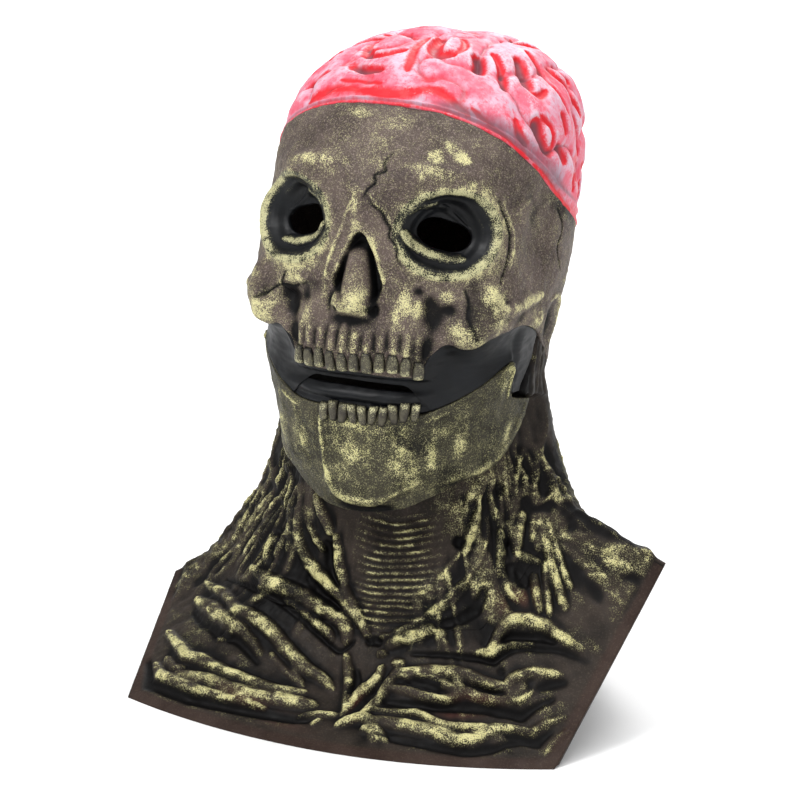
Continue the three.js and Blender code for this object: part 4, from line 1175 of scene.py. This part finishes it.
def bone_material(name, speckle, base, shade, deep, highlight, second, grit):
    p = Paint(name)
    cloud = p.noise(38.0, 4.0, 0.6)
    mottled = p.mix(p.ramp(cloud, 0.35, 0.68), base, shade)
    grain = p.noise(900.0, 2.0, 0.7)
    mottled = p.mix(p.ramp(grain, 0.5, 0.74, 0.0, speckle), mottled, grit)
    mottled = p.mix(p.times(p.tint, 0.8), mottled, second)
    # Dark wash, and painted shade beside ridges and under the jaw, from the dark layer.
    darkened = p.mix(p.ramp(p.dark, 0.05, 0.85), mottled, deep)
    pale = p.mix(p.ramp(p.noise(210.0, 3.0, 0.6), 0.35, 0.7), highlight, (216, 210, 156))
    colour = p.mix(dry_brushed(p, p.dry), darkened, pale)
    rough = p.ramp(p.noise(160.0), 0.3, 0.7, 0.5, 0.66)
    skin, pores = p.noise(420.0, 4.0, 0.65), p.noise(1500.0, 2.0, 0.6)
    return p.finish(colour, rough, [(skin, 0.35, 0.0006), (pores, 0.25, 0.0003)])


def membrane_material():
    p = Paint("black_membrane")
    cloud = p.noise(60.0, 4.0, 0.6)
    base = p.mix(p.ramp(cloud, 0.35, 0.7), (9, 10, 12), (18, 20, 23))
    colour = p.mix(dry_brushed(p, p.times(p.dry, 1.15)), base, (184, 180, 138))
    rough = p.ramp(p.noise(120.0), 0.3, 0.7, 0.4, 0.55)
    return p.finish(colour, rough, [(p.noise(300.0, 3.0, 0.6), 0.2, 0.0006)], 0.2)


def tooth_material():
    p = Paint("worn_teeth")
    stain = p.noise(260.0, 4.0, 0.7)
    base = p.mix(p.ramp(stain, 0.35, 0.65), (52, 48, 42), (80, 76, 62))
    darkened = p.mix(p.ramp(p.dark, 0.1, 0.8), base, (20, 18, 18))
    colour = p.mix(dry_brushed(p, p.dry), darkened, (196, 192, 150))
    rough = p.ramp(stain, 0.3, 0.7, 0.38, 0.55)
    return p.finish(colour, rough, [(p.noise(500.0, 3.0, 0.6), 0.3, 0.0004)], 0.25)


def brain_material():
    p = Paint("painted_brain")
    cloud = p.noise(55.0, 4.0, 0.62)
    fibre = p.noise(320.0, 3.0, 0.7, (1.0, 1.0, 0.35))
    flesh = p.mix(p.ramp(cloud, 0.34, 0.62), (200, 166, 184), (214, 92, 114))
    flesh = p.mix(p.ramp(fibre, 0.46, 0.70, 0.0, 0.7), flesh, (214, 62, 84))
    reach = p.plus(p.tint, p.times(p.plus(fibre, -0.5), 0.5))
    flesh = p.mix(p.ramp(reach, 0.10, 0.75), flesh, (206, 30, 42))
    pale = p.ramp(p.plus(p.dry, p.times(p.plus(p.noise(700.0, 2.0, 0.7), -0.5), 0.8)), 0.12, 0.6, 0.0, 0.8)
    flesh = p.mix(pale, flesh, (208, 190, 204))
    # Painted shade: the dark layer turns the flesh grey-lavender in the hollows and above the rim.
    colour = p.mix(p.ramp(p.dark, 0.08, 0.8, 0.0, 0.85), flesh, (96, 78, 88))
    rough = p.ramp(p.noise(150.0), 0.3, 0.7, 0.42, 0.58)
    return p.finish(colour, rough, [(fibre, 0.35, 0.0008), (p.noise(900.0, 2.0, 0.6), 0.2, 0.0004)], 0.25)


PALE, SOCKET_BLACK = (188, 184, 130), (16, 17, 22)
SKULL_PAINT = (88, 77, 72), (64, 55, 52), (9, 9, 10), (196, 190, 144), SOCKET_BLACK, (196, 178, 166)
JAW_PAINT = (60, 57, 48), (40, 38, 32), (8, 8, 9), PALE, SOCKET_BLACK, PALE
FLESH_PAINT = (50, 43, 38), (30, 26, 22), (6, 5, 5), (196, 190, 134), (84, 38, 30), (150, 132, 110)
MATERIALS = {
    "skull": bone_material("painted_skull", 0.30, *SKULL_PAINT),
    "jaw": bone_material("painted_jaw", 0.14, *JAW_PAINT),
    "flesh": bone_material("painted_flesh", 0.08, *FLESH_PAINT),
    "membrane": membrane_material(),
    "teeth": tooth_material(),
    "brain": brain_material(),
}


# ---------------------------------------------------------------- pieces
def place(piece, body, nodes):
    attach(piece, body)
    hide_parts(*nodes)


HOLE_SHARE = 0.93  # the part of a socket's or the nose's oval that is open in the skull


def band(name, body, node, slot, relief, paint, angles, top, bottom, rows, holes=(), **options):
    """Makes and places a wall piece over a row of angles, from a top edge down to a bottom one."""
    share = np.linspace(0, 1, rows)[:, None]
    V = np.broadcast_to(top, angles.shape) * (1 - share) + np.broadcast_to(bottom, angles.shape) * share
    A = np.broadcast_to(angles, V.shape)
    if holes:
        options["keep"] = np.all([oval_share(A, V, *hole)[0] > HOLE_SHARE for hole in holes], axis=0)
    place(wall_piece(name, relief, A, V, MATERIALS[paint], **options), body, [node])


head, brain, neck = sculpt_head(), sculpt_brain(), sculpt_neck()

# Skull: the front finely meshed, the back less so, with holes where the sockets and nose sit.
angles = angle_grid(0.5, 2.0, 92)[:-1]
turn = np.abs(angles)
top, hem = smooth(BRAIN_RIM, turn) - 0.15, smooth(SKULL_HEM, turn)
holes = [(spot, SOCKET_TILT) for spot in SOCKETS.values()] + [(NOSE, 0.0)]
band("skull", "mask", "skull_shell", "bone_latex", head, "skull", angles, top, hem, 173, holes, ring=True)


def eye_hole(turn):
    return 0.60 - 0.20 * np.sin(turn) ** 2


shares = np.linspace(0, 1.03, 74)
for side, spot in SOCKETS.items():
    cup = oval_piece(f"socket_{side}", spot, SOCKET_TILT, shares, eye_hole, MATERIALS["membrane"], 200)
    place(cup, "mask", [f"eye_socket_{side}"])
nose = oval_piece("nose", NOSE, 0.0, np.linspace(0.002, 1.03, 60), None, MATERIALS["skull"], 130)
place(nose, "mask", ["nose_cartilage"])

angles = angle_grid(0.75, 1.2, 120)[:-1]
dome = {"ring": True, "closed_top": True}
band("brain", "mask", "brain_cap", "brain_latex", brain, "brain", angles, 1.0, 0.0, 170, **dome)

angles = np.linspace(-80, 80, 321)
top, hem = smooth(JAW_TOP, np.abs(angles)), smooth(JAW_HEM, np.abs(angles))
band("jaw", "jaw", "jaw_shell", "bone_latex", head, "jaw", angles, top, hem, 121)

for name, teeth, body, seed in (("upper", TEETH_UPPER, "mask", 301), ("lower", TEETH_LOWER, "jaw", 401)):
    row = tooth_row(f"teeth_{name}", teeth, MATERIALS["teeth"], name == "upper", seed)
    place(row, body, [f"{name}_teeth"])


# Mouth liner: smooth black membrane with soft lip folds. It comes up flush with the skin in the
# gap between skull and jaw, and tucks in behind both.
SLIT = {"z": 201.5, "half": 1.6, "angle": 25.0}
UNDER_SKIN = -0.35  # how far the lining lies below the skin


class Membrane:
    """Stands in for a relief map on the liner: soft folds, and how far it lies under the skin."""

    surface = staticmethod(head_at)

    @staticmethod
    def sample(A, Z):
        turn = np.abs(A)
        front = 1 - step(18, 32, turn)
        hem, rim = smooth(SKULL_HEM, turn), smooth(JAW_TOP, turn)
        under = np.maximum(step(-0.4, 1.4, Z - hem), step(-1.2, 1.0, rim - Z))
        tuck = -3.7 * np.maximum(under, step(2, 5, turn - lobe_edge(Z)))
        upper, lower = bell(Z - 0.02 * A, 203.2, 4.2, 4), bell(Z + 0.02 * A, 195.6, 2.4)
        creases = 0.8 * bell(Z, 191.8, 1.4) + 0.6 * bell(Z, 209.6, 1.2)
        folds = (1.5 * lower - 4.2 * upper - creases) * front
        across = (Z - rim) / np.maximum(hem - rim, 4.0)
        hollow = -3.4 * unit(4 * across * (1 - across))
        hollow *= (1 - front) * (1 - 0.7 * step(60, 66, turn))
        base = head_at(A, Z)
        height = tuck + folds + hollow + 0.7 * fractal(base * np.array([1, 1, 2.8]), 16, 501)
        zero = np.zeros_like(height)
        return np.stack([height, zero, zero + 0.5, zero + 1], -1)


angles = np.linspace(-79, 79, 265)
turn = np.abs(angles)
tucked = np.clip(smooth(JAW_TOP, np.minimum(turn, 60)) - 14, 180, 196)
edge = SLIT["z"] + SLIT["half"]
hem = edge + (tucked - edge) * step(SLIT["angle"] - 9, SLIT["angle"] + 12, turn)
top = smooth(SKULL_HEM, turn) + 7
band(
    "liner", "mask", "mouth_liner", "socket_latex", Membrane, "membrane", angles, top, hem, 121,
    lift=UNDER_SKIN, thick=1.8,
)


class LowerMembrane:
    """The lower lip: the same folds, slipping behind the upper lining at the corners."""

    surface = staticmethod(head_at)

    @staticmethod
    def sample(A, Z):
        layers = Membrane.sample(A, Z)
        layers[..., 0] -= 1.1 * step(14, 27, np.abs(A))
        return layers


angles = np.linspace(-33, 33, 133)
edge = SLIT["z"] - SLIT["half"]
band(
    "lip_lower", "jaw", "lower_lip", "socket_latex", LowerMembrane, "membrane", angles, edge, 180.0, 61,
    lift=UNDER_SKIN, thick=1.6,
)

# Neck and bib: one surface, split at the collar bones and at the shoulders.
SPLIT = 0.56
angles = angle_grid(0.7, 2.4, 98)[:-1]
turn = np.abs(angles)
top = (COLLAR - np.minimum(smooth(NECK_TOP, turn), smooth(SKULL_HEM, turn) - 0.4)) / NECK_SPAN
band("neck", "mask", "neck_sleeve", "flesh_latex", neck, "flesh", angles, top, SPLIT, 181, ring=True)
angles = np.linspace(-90, 90, 449)
band("bib_front", "mask", "front_bib", "flesh_latex", neck, "flesh", angles, SPLIT, 1.0, 105)


class Behind:
    """The neck's relief with angles that run on past 180."""

    surface = staticmethod(lambda a, s: neck_at(np.where(a > 180, a - 360, a), s))
    sample = staticmethod(lambda a, s: neck.sample(np.where(a > 180, a - 360, a), s))


angles = np.linspace(90, 270, 241)
band("bib_back", "mask", "back_bib", "flesh_latex", Behind, "flesh", angles, SPLIT, 1.0, 89)

# ---------------------------------------------------------------- stage, light and camera
floor_mesh = bpy.data.meshes.new("floor")
floor_mesh.from_pydata([(-6, -6, 0), (6, -6, 0), (6, 6, 0), (-6, 6, 0)], [], [(0, 1, 2, 3)])
floor = bpy.data.objects.new("floor", floor_mesh)
bpy.context.collection.objects.link(floor)
paper = Paint("pale_floor")
grey = paper.ramp(paper.noise(6.0), 0.3, 0.7, 0.83, 0.86)
floor_mesh.materials.append(paper.finish(grey, 0.9, [(paper.noise(80.0), 0.02, 0.001)], 0.1))

world = bpy.data.worlds.new("studio")
world.use_nodes = True
world.node_tree.nodes["Background"].inputs[0].default_value = (1.0, 1.0, 1.0, 1.0)
world.node_tree.nodes["Background"].inputs[1].default_value = 0.62
bpy.context.scene.world = world


def area(name, at, size, power, toward=(0, 0, 0.22)):
    light = bpy.data.lights.new(name, "AREA")
    light.shape = "DISK"
    light.size = size
    light.energy = power
    made = bpy.data.objects.new(name, light)
    made.location = at
    made.rotation_euler = (Vector(toward) - Vector(at)).to_track_quat("-Z", "Y").to_euler()
    bpy.context.collection.objects.link(made)


area("key", (-0.75, -1.5, 1.75), 0.7, 34)
area("fill", (1.6, -1.3, 0.9), 1.2, 9)
area("top", (0.3, 0.3, 1.9), 1.0, 16)
area("backdrop", (-0.4, 3.4, 2.4), 3.0, 150, (-0.4, 3.4, 0))

YAW, ELEVATION, ROLL, DISTANCE = 20.0, 12.0, 3.0, 1.6
FOCAL = 2700.0  # the lens's focal length in picture widths of 800
AIM = (-15.0, 75.0)  # the picture's middle relative to the point on the axis
camera = bpy.data.cameras.new("camera")
camera.sensor_width = 36.0
camera.lens = 36.0 * FOCAL / 800
yaw, elevation, roll = (math.radians(v) for v in (YAW, ELEVATION, ROLL))
level = math.cos(elevation)
back = Vector((math.sin(yaw) * level, -math.cos(yaw) * level, math.sin(elevation)))
right0 = Vector((math.cos(yaw), math.sin(yaw), 0))
up0 = back.cross(right0)
right = right0 * math.cos(roll) + up0 * math.sin(roll)
up = up0 * math.cos(roll) - right0 * math.sin(roll)
target = Vector((-MIDDLE[0] * MM, -MIDDLE[1] * MM, 0.22))
eye = target + back * DISTANCE
look = (-back * FOCAL + right * AIM[0] - up * AIM[1]).normalized()
right = look.cross(up).normalized()
up = right.cross(look)
matrix = Matrix((right, up, -look)).transposed().to_4x4()
matrix.translation = eye
seat = bpy.data.objects.new("camera", camera)
seat.matrix_world = matrix
bpy.context.collection.objects.link(seat)
bpy.context.scene.camera = seat
bpy.context.scene.view_settings.view_transform = "Standard"
